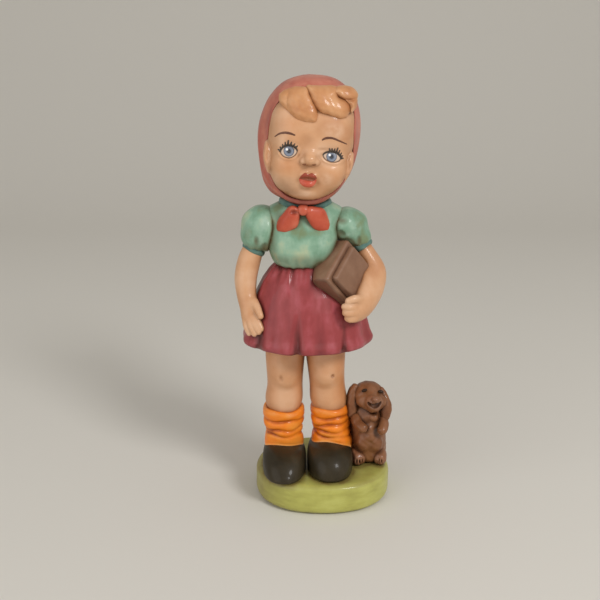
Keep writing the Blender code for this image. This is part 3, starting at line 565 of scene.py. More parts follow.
sleeveShape = {
    "right": [((-39.8, 0.2, 185.0), (13.6, 13.6, 13.2)), ((-42.2, -0.4, 176.6), (10.4, 11.4, 8.6)),
              ((-37.2, -1.6, 182.6), (7.6, 12.8, 13.2))],
    "left": [((15.2, 0.2, 185.2), (13.2, 13.6, 11.4)), ((21.8, -0.6, 177.2), (8.2, 10.2, 6.9)),
             ((13.6, -1.4, 185.8), (7.4, 12.8, 9.6))],
    # where each sleeve is luted to the bodice: z and x
    "seam": {"right": [(171.5, -35.0), (178.6, -33.2), (185.5, -32.4), (196.0, -32.2)],
             "left": [(176.0, 7.2), (180.0, 7.0), (189.0, 7.0), (197.0, 7.0)]},
    "dimples": {"right": [(-37.4, -13.0, 172.2, 1.6, 2.8), (-43.0, -13.4, 176.8, 1.0, 2.6)],
                "left": [(10.6, -14.0, 190.4, 2.8, 1.5), (10.0, -13.2, 181.8, 2.4, 2.0),
                         (15.6, -13.8, 177.0, 3.4, 1.0), (22.0, -11.8, 177.0, 1.0, 2.4)]},
    "pales": {"right": [(-37.6, 189.0, 3.0, 6.0, 0.9), (-48.0, 182.0, 3.0, 8.0, 0.6),
                        (-40.0, 178.0, 2.6, 5.0, 0.5)],
              "left": [(20.0, 186.4, 5.0, 4.0, 0.7), (14.6, 181.0, 4.0, 2.4, 0.5)]},
    "box": {"right": ((-55, -15, 167), (-25, 15, 201)), "left": ((0, -15, 168), (31, 15, 199))},
    "formBlends": (5.0, 3.0), "seamBlend": 2.0, "dimpleDepth": 1.7, "dimpleBlend": 2.2,
    "gathers": 11, "gatherDepth": 0.3, "gatherPlace": (171.0, 4.5), "ripple": 0.3,
    # brown in the dimples, how far it spreads round them, and painted shade above the cuff
    "dimpleStain": 0.5, "dimpleSpread": 0.3, "lowShade": (0.3, 172.0, 3.5), "stainFront": -4.0}
cuffShape = {
    "right": {"centre": (-45.2, -1.0, 169.8), "axis": (0.47, 0.16, 0.87), "radius": 6.0},
    "left": {"centre": (23.3, -1.4, 171.9), "axis": (-0.49, 0.18, 0.86), "radius": 6.6},
    "box": {"right": ((-56, -12, 161), (-33, 10, 178)), "left": ((13, -12, 161), (36, 10, 181))},
    "thick": 1.8, "tall": 2.6, "wave": 0.25}


def bodiceField(p):
    s = bodiceShape
    d = stack(p, s["stations"], squareness=s["squareness"])
    d = join(d, sweep(p, s["shoulders"], (0, 1, 0), 12), s["shoulderBlend"])
    turn = np.arctan2(p[1], p[0] + 12.0)
    low = np.exp(-((p[2] - s["gatherPlace"][0]) / s["gatherPlace"][1]) ** 2)
    return d + s["gatherDepth"] * low * np.cos(s["gathers"] * turn + np.sin(3 * turn))


def bandField(p, centre, axis, radius, thick, tall, flat=1.0, wave=0.0):
    # A rounded ring about an axis, with a gentle wave along it.
    axis = np.array(axis, dtype=np.float64) / np.linalg.norm(axis)
    across = np.cross((0.0, 1.0, 0.0), axis)
    across /= np.linalg.norm(across)
    through = np.cross(axis, across)
    q = [p[i] - centre[i] for i in range(3)]
    u, v, w = [sum(q[i] * a[i] for i in range(3)) for a in (across, through, axis)]
    turn = np.arctan2(v, u)
    reach = np.sqrt(u ** 2 + (v / flat) ** 2) - radius
    ratio = np.sqrt((reach / thick) ** 2 + ((w + wave * np.sin(3 * turn)) / tall) ** 2)
    return (ratio - 1.0) * min(thick, tall)


def collarField(p):
    return bandField(p, **collarShape)


def sleeveField(which):
    s = sleeveShape
    forms = s[which]

    def field(p):
        d = join(blob(p, *forms[0]), blob(p, *forms[1]), s["formBlends"][0])
        d = join(d, blob(p, *forms[2]), s["formBlends"][1])
        turn = np.arctan2(p[1] - forms[1][0][1], p[0] - forms[1][0][0])
        low = np.exp(-((p[2] - s["gatherPlace"][0]) / s["gatherPlace"][1]) ** 2)
        d = d + s["gatherDepth"] * np.cos(s["gathers"] * turn + 0.8) * low
        d = d + s["ripple"] * np.sin(p[0] * 0.45 + 1.0) * np.sin(p[2] * 0.38)
        heights, places = zip(*s["seam"][which])
        inward = p[0] - np.interp(p[2], heights, places)
        d = both(d, inward if which == "right" else -inward, s["seamBlend"])
        for x, y, z, wide, tall in s["dimples"][which]:
            d = cut(d, blob(p, (x, y, z), (wide, s["dimpleDepth"], tall)), s["dimpleBlend"])
        return d
    return field


def sleeveStainAndShade(which, p):
    s = sleeveShape
    more = s["dimpleSpread"]
    spots = []
    for x, _, z, wide, tall in s["dimples"][which]:
        spots.append((x, z, wide + more, tall + more, s["dimpleStain"]))
    # Painted shade along the bottom of the sleeve, above the cuff.
    gain, height, reach = s["lowShade"]
    low = gain * np.exp(-((p[2] - height) / reach) ** 2)
    return (softSpots(p, spots) + low) * (p[1] < s["stainFront"])


def cuffField(which):
    s = cuffShape
    return lambda p: bandField(p, thick=s["thick"], tall=s["tall"], wave=s["wave"], **s[which])


# The bodice's stain is painted shade.
cast("bodiceCasting", bodiceField, (-40, -23, 156), (17, 22, 205), 0.55, "blouse_teal",
     stain=lambda p: softSpots(p, bodiceShape["stains"]), pale=lambda p: softSpots(p, bodiceShape["pales"]))
cast("collarCasting", collarField, (-31, -18, 194), (7, 18, 206), 0.5, "trim_teal")
for which in ("right", "left"):
    cast(which + "SleeveCasting", sleeveField(which), *sleeveShape["box"][which], 0.5, "blouse_teal",
         stain=lambda p: sleeveStainAndShade(which, p), pale=lambda p: softSpots(p, sleeveShape["pales"][which]))
for which in ("right", "left"):
    cast(which + "CuffCasting", cuffField(which), *cuffShape["box"][which], 0.45, "trim_teal")

# Books

bookShape = {
    "corner": (0.3, -34.6, 157.8), "long": (0.453, 0.611, 0.655), "short": (0.558, 0.376, -0.736),
    "face": (0.696, -0.696, 0.177), "edge": 2.0, "bluntEnd": -7.6,
    "rear": ((0.0, 33.0), (0.0, 27.0), (-18.0, 0.0)), "front": ((3.4, 30.4), (3.2, 24.8), (-1.0, 4.0)),
    "bluntBlend": 4.0, "endShade": (0.6, 1.5, 1.0), "cell": {"rear": 0.5, "front": 0.45},
    "box": {"rear": ((-10, -37, 133), (36, 18, 186)), "front": ((2, -41, 137), (38, 3, 186))}}


def bookField(which):
    spans = bookShape[which]

    def field(p):
        q = [p[i] - bookShape["corner"][i] for i in range(3)]
        outer = 0.0
        inner = None
        for key, (low, high) in zip(("long", "short", "face"), spans):
            axis = bookShape[key]
            along = sum(q[i] * axis[i] for i in range(3))
            over = np.abs(along - (low + high) / 2.0) - (high - low) / 2.0 + bookShape["edge"]
            outer = outer + np.maximum(over, 0.0) ** 2
            inner = over if inner is None else np.maximum(inner, over)
        d = np.sqrt(outer) + np.minimum(inner, 0.0) - bookShape["edge"]
        return both(d, bookShape["bluntEnd"] - p[0], bookShape["bluntBlend"])
    return field


def bookEndShade(which, p):
    # Painted shade: the lower end of a book is the darkest.
    along = sum((p[i] - bookShape["corner"][i]) * bookShape["long"][i] for i in range(3))
    gain, start, reach = bookShape["endShade"]
    return gain * np.clip((bookShape[which][0][0] + start - along) / reach, 0.0, 1.0)


for which in ("rear", "front"):
    cast(which + "BookCasting", bookField(which), *bookShape["box"][which], bookShape["cell"][which],
         "book_brown", stain=lambda p: bookEndShade(which, p))

# Arms and hands

armShape = {
    "right": [(-41.5, 0.5, 180.0, 5.0, 5.0), (-44.4, -0.5, 172.0, 6.4, 6.6), (-48.0, -2.0, 163.0, 7.4, 7.5),
              (-50.4, -5.0, 152.0, 7.3, 7.3), (-49.9, -9.0, 142.0, 6.4, 6.2),
              (-48.0, -13.4, 134.0, 6.0, 5.2), (-47.0, -16.4, 128.0, 5.8, 4.2),
              (-46.6, -17.6, 124.0, 4.0, 3.0)],
    "left": [(18.5, 1.0, 182.0, 5.0, 5.0), (21.4, -0.5, 174.5, 6.2, 6.2), (28.0, -2.5, 165.0, 6.5, 6.6),
             (32.8, -6.0, 156.2, 7.0, 7.2), (31.4, -11.8, 147.4, 7.4, 7.2), (27.6, -18.0, 140.6, 7.6, 6.8),
             (23.0, -23.5, 136.5, 7.6, 6.4), (17.5, -27.0, 134.8, 7.0, 5.6), (13.0, -28.5, 135.5, 4.4, 4.0)],
    "rightFingers": [
        [(-46.0, -13.4, 139.5, 3.0, 3.0), (-43.0, -17.8, 135.6, 2.7, 2.7), (-41.0, -21.0, 132.0, 2.2, 2.2),
         (-39.6, -22.4, 128.8, 1.8, 1.8)],
        [(-44.4, -17.0, 130.6, 2.5, 2.5), (-42.2, -20.8, 126.2, 2.4, 2.4), (-39.0, -23.4, 121.0, 1.8, 1.8)],
        [(-46.2, -17.6, 129.0, 2.5, 2.5), (-44.0, -21.0, 124.4, 2.4, 2.4), (-40.6, -23.2, 118.8, 1.8, 1.8)],
        [(-48.2, -17.4, 128.2, 2.5, 2.5), (-46.6, -20.4, 123.2, 2.3, 2.3), (-43.6, -22.2, 117.2, 1.8, 1.8)],
        [(-50.4, -16.4, 127.6, 2.3, 2.3), (-49.6, -18.8, 122.6, 2.1, 2.1), (-47.2, -20.2, 117.0, 1.6, 1.6)]],
    "leftFingers": [
        [(24.5, -24.0, 141.6, 3.4, 3.4), (18.8, -30.4, 144.4, 2.7, 2.7), (12.6, -32.4, 142.8, 2.0, 2.0)],
        [(20.0, -29.5, 139.0, 2.4, 2.4), (14.5, -32.0, 139.4, 2.4, 2.4), (10.6, -30.0, 140.0, 2.0, 2.0)],
        [(20.5, -29.5, 135.4, 2.4, 2.4), (15.0, -32.0, 135.4, 2.4, 2.4), (11.2, -30.0, 136.4, 2.0, 2.0)],
        [(20.8, -29.0, 131.8, 2.3, 2.3), (16.0, -31.2, 131.6, 2.3, 2.3), (12.8, -29.5, 132.8, 1.9, 1.9)]],
    "fingerBlend": {"right": 1.0, "left": 1.5}, "thumbBlend": 2.4, "elbowBlend": 7.0,
    # the way that the width of the arm and of its fingers lies
    "across": {"right": (1, 0, 0), "left": (0.4, 0.0, 0.92)},
    "fingersAcross": {"right": (1, 0, 0), "left": (0, 0, 1)},
    "box": {"right": ((-59, -28, 114), (-34, 9, 182)), "left": ((7, -37, 126), (42, 9, 184))},
    "leftElbow": [((27.0, -13.0, 150.0), (5.0, 7.0, 8.0)), ((24.6, -20.0, 143.4), (4.6, 5.4, 5.4))]}


def armField(which):
    s = armShape

    def field(p):
        d = sweep(p, s[which], s["across"][which], 30)
        for spot, size in s.get(which + "Elbow", ()):
            d = join(d, blob(p, spot, size), s["elbowBlend"])
        for k, finger in enumerate(s[which + "Fingers"]):
            blend = s["fingerBlend"][which] if k else s["thumbBlend"]
            d = join(d, sweep(p, finger, s["fingersAcross"][which], 8), blend)
        return d
    return field


for which in ("right", "left"):
    cast(which + "ArmCasting", armField(which), *armShape["box"][which], 0.5, "skin")

# Head

headShape = {"centre": (-8.5, 0.0, 240.0), "roll": math.radians(5.0)}


def headLocal(p):
    # Places in the head's own frame, which is rolled a little to one side.
    c, s = math.cos(headShape["roll"]), math.sin(headShape["roll"])
    x, y, z = [p[i] - headShape["centre"][i] for i in range(3)]
    return x * c - z * s, y + 0.0 * x, x * s + z * c    # y is spread to the shape of x


faceShape = {
    "eyes": {"right": (-13.1, -6.4, 9.0), "left": (13.0, -7.4, -8.0)},
    "eyeHalf": {"right": (5.0, 3.7), "left": (5.5, 3.0)}, "eyePoint": 1.8,
    "iris": {"right": (-13.1, -6.1), "left": (12.8, -7.2)},
    "skull": ((-0.3, 1.5, 5.4), (28.0, 27.0, 30.6), 3.0),
    "jaw": ((-1.0, -2.6, -13.2), (23.9, 22.8, 23.8), 2.9, 2.5),
    # places and sizes of the forms in the head's own frame, and how softly each joins
    "chin": ((-0.5, -15.6, -29.0), (10.4, 7.0, 6.6), 6.0),
    "cheeks": ((12.5, -16.8, -17.0), (8.4, 8.4, 9.0), 8.0),
    "socket": ((12.9, -28.8, -6.6), (7.6, 4.6, 5.6), 4.0),
    "bridge": [(0.0, -21.0, -1.0, 1.6, 1.6), (0.0, -23.0, -5.0, 2.0, 2.0), (0.0, -27.0, -9.2, 3.2, 3.0)],
    "noseTip": ((0.0, -28.0, -9.8), (3.6, 3.2, 3.2), 2.4),
    "noseWings": ((3.8, -26.4, -11.2), (2.2, 2.0, 1.9), 2.0),
    "nostrils": ((2.7, -28.6, -13.0), (1.2, 1.7, 0.9), 0.8),
    "upperLip": ((2.0, -25.3, -19.4), (3.2, 2.0, 1.7), 1.8),
    "lowerLip": ((0.0, -25.1, -24.6), (4.0, 2.2, 2.0), 2.0),
    "mouth": ((0.0, -28.4, -21.7), (3.8, 2.2, 1.4), 0.9),
    "chinFold": ((0.0, -26.2, -28.2), (4.0, 1.4, 0.8), 2.0),
    "ears": [[(-26.4, -10.6, -2.0, 1.6, 2.4), (-26.0, -13.4, -9.4, 2.7, 3.4),
              (-25.3, -14.2, -14.8, 2.5, 3.2), (-23.6, -13.6, -21.8, 1.3, 2.0)],
             [(25.0, -10.6, -4.6, 1.5, 2.4), (24.5, -13.4, -11.4, 2.5, 3.4), (23.3, -14.2, -16.8, 2.3, 3.2),
              (21.6, -13.6, -23.2, 1.3, 2.0)]],
    "earHollows": [((-26.2, -17.4, -10.8), (0.9, 1.4, 3.4)), ((24.4, -17.4, -13.2), (0.8, 1.4, 3.0))],
    # x, z, two reaches and strength of the glaze's brown and painted shade, of the blush and of the pale
    # places, which are painted highlights
    # the stains: painted shade under the nose and lip, by the eyes and ears and on her right; brown at the
    # mouth corners and between the brows; lighter ears
    "stains": [(6.0, -23.6, 1.7, 2.0, 0.4), (-6.0, -22.6, 1.3, 1.6, 0.3), (-0.4, -13.7, 3.4, 0.9, 0.4),
               (5.6, -11.4, 1.0, 1.4, 0.26), (-6.2, -12.2, 1.0, 1.4, 0.26), (0.0, -28.3, 4.2, 0.9, 0.2),
               (9.0, -3.0, 4.6, 0.9, 0.4), (-13.4, -11.2, 4.0, 0.7, 0.16), (13.0, -11.6, 4.0, 0.7, 0.16),
               (-7.2, -7.6, 1.0, 1.4, 0.3), (6.6, -6.8, 1.0, 1.6, 0.3), (-23.2, -18.6, 0.9, 1.6, 0.4),
               (21.6, -20.4, 0.9, 1.8, 0.3), (-3.0, 1.6, 5.0, 4.6, 0.36), (-13.0, -25.0, 6.0, 5.0, 0.26),
               (-9.0, -31.0, 6.0, 3.0, 0.3), (-18.0, 8.0, 6.0, 6.0, 0.14), (-25.8, -11.0, 2.2, 8.0, -0.35),
               (24.4, -14.0, 2.2, 8.0, -0.3)],
    "blushes": [(-15.0, -16.0, 6.5, 5.5, 1.0), (15.5, -16.0, 6.5, 5.5, 0.8), (-15.0, 8.0, 8.0, 7.0, 1.2),
                (-3.0, 1.6, 6.0, 5.0, 0.8)],
    "pales": [(13.0, 8.0, 8.0, 5.0, 1.0), (11.0, -20.0, 5.0, 5.0, 0.8), (0.0, -31.0, 6.0, 3.0, 0.8)],
    # painted shade towards the sides and the chin: strength, then start and reach of each, and how far back
    # it goes
    "paintedEdgeShade": (0.14, (17.0, 11.0), (-24.0, 12.0)), "stainFront": -8.0,
    "neck": [(-11.5, 2.5, 218.0, 9.0, 9.0), (-11.8, 2.0, 206.0, 10.5, 10.0), (-12.0, 1.5, 190.0, 10.0, 9.5),
             (-12.0, 1.5, 187.0, 7.0, 7.0)],
    "jawBlend": 4.0, "bridgeBlend": 4.0, "earBlend": 0.8, "hollowBlend": 1.2, "neckBlend": 2.0,
    "lid": (0.55, 0.9, 0.8)}    # height of the soft lid, its distance from the eye and its width


def eyeDistance(u, v, which):
    # How far a place lies inside the almond of an eye.
    x, z, tilt = faceShape["eyes"][which]
    c, s = math.cos(math.radians(tilt)), math.sin(math.radians(tilt))
    along, up = (u - x) * c + (v - z) * s, (v - z) * c - (u - x) * s
    n = faceShape["eyePoint"]
    half = faceShape["eyeHalf"][which]
    reach = (np.abs(along / half[0]) ** n + np.abs(up / half[1]) ** n) ** (1.0 / n)
    return (1.0 - reach) * half[1]


def faceField(p):
    s = faceShape
    q = headLocal(p)
    mirrored = (np.abs(q[0]), q[1], q[2])
    d = join(block(q, *s["skull"]), block(q, *s["jaw"]), s["jawBlend"])
    for key, side in (("chin", q), ("cheeks", mirrored)):
        d = join(d, blob(side, *s[key][:2]), s[key][2])
    d = cut(d, blob(mirrored, *s["socket"][:2]), s["socket"][2])
    d = join(d, sweep(q, s["bridge"], count=8), s["bridgeBlend"])
    for key, side in (("noseTip", q), ("noseWings", mirrored), ("upperLip", mirrored), ("lowerLip", q)):
        d = join(d, blob(side, *s[key][:2]), s[key][2])
    for key, side in (("nostrils", mirrored), ("mouth", q), ("chinFold", q)):
        d = cut(d, blob(side, *s[key][:2]), s[key][2])
    return d


def headField(p):
    s = faceShape
    q = headLocal(p)
    d = faceField(p)
    height, away, wide = s["lid"]
    for which in ("right", "left"):
        ring = eyeDistance(q[0], q[2], which)
        d = d - height * np.exp(-((ring + away) / wide) ** 2) * (q[1] < 0)
    for ear in s["ears"]:
        d = join(d, sweep(q, ear, count=12), s["earBlend"])
    for hollow in s["earHollows"]:
        d = cut(d, blob(q, *hollow), s["hollowBlend"])
    return join(d, stack(p, s["neck"]), s["neckBlend"])


def faceStainAndShade(p):
    # Painted shade towards the sides and the chin, and the listed spots of brown and painted shade, on the
    # front only.
    q = headLocal(p)
    gain, (side, sideReach), (chin, chinReach) = faceShape["paintedEdgeShade"]
    edge = np.clip((np.abs(q[0]) - side) / sideReach, 0.0, 1.0)
    edge = edge + np.clip((chin - q[2]) / chinReach, 0.0, 1.0)
    return np.where(q[1] < faceShape["stainFront"], softSpots(q, faceShape["stains"]) + gain * edge, 0.0)


# The face's pale places are painted highlights on her left forehead and cheek and on the chin.
cast("headCasting", headField, (-42, -34, 187), (24, 32, 278), 0.5, "skin", stain=faceStainAndShade,
     pale=lambda p: softSpots(headLocal(p), faceShape["pales"]),
     blush=lambda p: softSpots(headLocal(p), faceShape["blushes"]))

# Headscarf

scarfShape = {
    "stations": [(-8.2, 6.0, 278.9, 3.0, 3.0), (-8.0, 5.8, 278.3, 7.8, 7.6), (-7.8, 5.6, 276.8, 13.0, 13.4),
                 (-8.2, 5.2, 274.0, 18.4, 18.8), (-8.2, 4.8, 269.0, 23.8, 24.2),
                 (-8.3, 4.4, 262.0, 28.4, 28.0), (-8.9, 4.0, 251.0, 31.6, 30.0),
                 (-9.7, 4.0, 239.0, 32.1, 30.0), (-10.9, 3.2, 226.0, 30.2, 27.6),
                 (-12.4, 1.4, 215.0, 26.8, 25.2), (-13.2, 0.3, 208.4, 22.4, 21.5),
                 (-13.4, 0.3, 205.0, 18.4, 18.0), (-13.2, 0.3, 202.4, 14.0, 13.0)],
    # the opening for the face in the head's own frame: middle, height and half width
    "window": [(2.0, 30.6, 6.0), (2.2, 29.4, 12.0), (2.0, 26.6, 18.4), (1.2, 22.0, 22.0), (0.1, 16.0, 24.3),
               (-0.4, 10.0, 25.0), (-0.5, 5.0, 25.4), (-0.2, 0.0, 25.8), (-0.2, -3.5, 26.0),
               (-0.5, -8.3, 26.8), (-1.0, -13.5, 26.2), (-1.0, -18.9, 23.8), (-1.0, -21.5, 22.5),
               (-1.0, -24.1, 20.9), (-1.2, -26.8, 19.1), (-1.4, -29.4, 17.1), (-1.7, -31.8, 14.4),
               (-2.2, -33.6, 11.4), (-2.4, -35.0, 7.6), (-2.0, -35.9, 2.0)],
    "chinBand": [(-37.0, -3.0, 221.0, 2.4, 2.6), (-30.4, -10.6, 211.0, 2.2, 2.4),
                 (-21.6, -15.6, 204.6, 1.8, 2.2), (-11.8, -17.2, 202.6, 1.6, 2.2),
                 (-2.4, -15.6, 204.2, 1.8, 2.2), (6.2, -10.6, 210.6, 2.2, 2.4),
                 (14.5, -3.0, 221.0, 2.4, 2.6)],
    # flatter in front of the axis than behind it: where that starts, over how much height, and by how much
    "axis": (-10.0, 4.0), "flattening": (266.0, 16.0, 1.18),
    # how thick the cloth lies round the face, and how much thicker towards the back and over the brow
    "rimThick": 1.1, "backThick": (6.0, 13.0), "browThick": (3.0, 20.0, 8.0),
    "rim": 1.6, "wrap": 0.7, "clothBlend": 1.5, "bandBlend": 2.0, "edge": 3.0,
    "openingBack": -5.0, "clearing": 0.4,
    "ripple": (0.3, 206.0, 12.0), "shadow": (203.0, 4.0, 0.4), "shadowFront": -6.0}


def scarfField(p):
    s = scarfShape
    q = headLocal(p)
    axisX, axisY = s["axis"]
    top, reach, flatter = s["flattening"]
    depth = 1.0 + (flatter - 1.0) * np.clip((top - p[2]) / reach, 0.0, 1.0)
    flat = np.where(p[1] < axisY, axisY + (p[1] - axisY) * depth, p[1])
    d = stack((p[0], flat, p[2]), s["stations"], s["edge"])
    turn = np.arctan2(p[1] - axisY, p[0] - axisX)
    gain, start, reach = s["ripple"]
    d = d + gain * np.sin(3 * turn + p[2] * 0.11) * np.clip((p[2] - start) / reach, 0, 1)
    rows = smoothRows(s["window"], 80)[::-1]
    mid = np.interp(q[2], rows[:, 1], rows[:, 0])
    half = np.interp(q[2], rows[:, 1], rows[:, 2], left=-3.0, right=-3.0)
    opening = np.maximum(np.abs(q[0] - mid) - half, q[1] - s["openingBack"])
    face = faceField(p)
    gain, reach = s["backThick"]
    thick = s["rimThick"] + gain * np.clip((p[1] + reach) / reach, 0.0, 1.0) ** 2
    gain, start, reach = s["browThick"]
    thick = thick + gain * np.clip((q[2] - start) / reach, 0.0, 1.0)
    d = both(join(d, face - s["wrap"], s["clothBlend"]), face - thick, s["clothBlend"])
    d = cut(d, opening, s["rim"])
    d = join(d, sweep(p, s["chinBand"], (0, 0, 1), 26), s["bandBlend"])
    return np.maximum(d, -(face + s["clearing"]))


def scarfShadow(p):
    # Painted shadow along the tied band under the chin.
    low, reach, gain = scarfShape["shadow"]
    return gain * np.exp(-((p[2] - low) / reach) ** 2) * (p[1] < scarfShape["shadowFront"])


cast("headscarfCasting", scarfField, (-44, -28, 197), (25, 36, 280), 0.55, "scarf_red", stain=scarfShadow)

# Fringe

fringeShape = {
    "swell": 0.35, "curlBlend": 0.5, "ripple": 0.12,
    # the locks follow the brow in depth: place, bend to the sides, bend over the top and where that starts
    "brow": (-22.6, 0.011, 0.013, 12.0), "tuck": (0.03, 29.0),
    "box": {"rightLock": ((-30, -30, 248), (0, -3, 278)), "leftLock": ((-18, -31, 252), (18, -3, 279)),
            "topCurl": ((-4, -29, 256), (23, -1, 280)), "sideLock": ((-34, -27, 254), (-19, -6, 275))},
    "rightLock": {"edge": 5.0, "depth": 4.4, "outlines": [[
        (-5.7, 31.6), (-2.6, 26.6), (1.2, 20.4), (2.0, 16.4), (1.6, 12.4), (-1.4, 11.6), (-5.4, 11.7),
        (-10.8, 12.9), (-15.1, 16.3), (-17.7, 20.4), (-18.0, 24.2), (-17.4, 27.6), (-15.2, 30.2),
        (-10.7, 31.4)]]},
    "sideLock": {"edge": 3.0, "depth": 3.0, "outlines": [[
        (-14.6, 30.4), (-19.5, 28.0), (-21.5, 25.6), (-21.1, 22.2), (-19.1, 20.0), (-16.0, 17.1),
        (-14.0, 16.2), (-13.6, 21.6), (-14.2, 26.6)]]},
    "leftLock": {"edge": 5.4, "depth": 5.0, "outlines": [[
        (-6.0, 32.0), (-0.5, 32.8), (4.7, 33.3), (9.9, 33.6), (14.0, 32.4), (13.6, 29.4), (14.0, 27.8),
        (17.3, 26.7), (20.7, 24.3), (21.6, 20.8), (19.4, 16.5), (15.6, 15.1), (9.0, 16.9), (1.9, 19.4),
        (-2.4, 25.0)]]},
    "topCurl": {"edge": 3.6, "depth": 5.2, "outlines": [
        [(10.6, 30.0), (11.9, 33.0), (15.8, 34.2), (20.7, 33.8), (24.2, 31.8), (25.4, 29.2), (24.2, 27.0),
         (18.8, 26.2), (14.4, 27.6)],
        [(17.6, 26.4), (21.5, 26.9), (24.6, 27.7), (25.4, 24.7), (24.0, 20.8), (21.7, 19.6), (20.4, 23.5)]]}}


def lockField(which):
    kit, s = fringeShape, fringeShape[which]

    def field(p):
        q = headLocal(p)
        place, sideBend, topBend, start = kit["brow"]
        middle = place + sideBend * q[0] ** 2 + topBend * np.maximum(q[2] - start, 0.0) ** 2
        if which != "topCurl":
            bend, start = kit["tuck"]
            middle = middle + bend * np.maximum(q[2] - start, 0.0) ** 2
        d = None
        for outline in s["outlines"]:
            found = pillow(q, outline, middle, s["depth"], s["edge"])
            d = found if d is None else join(d, found, kit["curlBlend"])
        d = d - kit["swell"]
        return d + kit["ripple"] * np.sin(q[0] * 0.9 + q[2] * 1.3) * np.cos(q[0] * 0.5 - q[2] * 0.4)
    return field


for which, (low, high) in fringeShape["box"].items():
    cast(pieceName("fringe", which), lockField(which), low, high, 0.4, "hair_tan")

# Tied ends of the scarf

bowShape = {
    "knot": [(-13.3, -16.0, 201.0, 2.8, 2.0), (-13.4, -18.9, 198.6, 3.5, 2.1),
             (-13.5, -19.2, 194.8, 2.7, 1.8)],
    "rightTail": [(-14.4, 198.0), (-16.0, 199.6), (-19.8, 200.8), (-24.0, 198.0), (-28.8, 191.4),
                  (-30.4, 184.4), (-27.0, 183.0), (-23.4, 183.4), (-17.6, 187.4), (-15.4, 194.2)],
    "leftTail": [(-12.8, 198.0), (-11.8, 199.6), (-7.1, 200.6), (-1.2, 198.6), (2.9, 191.0), (4.0, 184.2),
                 (0.4, 183.2), (-4.6, 184.8), (-9.2, 188.8), (-12.0, 194.8)],
    "tailDepth": 3.2, "tailEdge": 4.8,
    "dimple": ((-19.2, -21.0, 197.0), (2.6, 2.0, 1.5)), "dimpleBlend": 1.6,
    "stains": {"rightTail": [(-19.2, 197.0, 2.08, 1.2, 0.7)], "leftTail": []}, "ripple": 0.25,
    # the tails follow the breast in depth: place, its x and bend to the sides, and the lean below a height
    "breast": (-18.2, -13.4, 0.018), "lean": (0.05, 194.0),
    "box": {"rightTail": ((-32, -25, 183), (-13, -10, 202)), "leftTail": ((-14, -25, 183), (5, -10, 202))}}


def tailField(which):
    s = bowShape

    def field(p):
        place, x, bend = s["breast"]
        lean, height = s["lean"]
        middle = place + bend * (p[0] - x) ** 2 - lean * np.minimum(p[2] - height, 0.0)
        d = pillow(p, s[which], middle, s["tailDepth"], s["tailEdge"])
        d = d + s["ripple"] * np.sin((p[0] - x) * 0.55) * np.cos(p[2] * 0.3)
        return cut(d, blob(p, *s["dimple"]), s["dimpleBlend"]) if which == "rightTail" else d
    return field


cast("scarfKnotCasting", lambda p: sweep(p, bowShape["knot"], (1, 0, 0), 20), (-18, -25, 190), (-8, -9, 204),
     0.4, "bow_red")
for which, (low, high) in bowShape["box"].items():
    cast(pieceName("scarf", which), tailField(which), low, high, 0.4, "bow_red",
         stain=lambda p: softSpots(p, bowShape["stains"][which]))

# Puppy

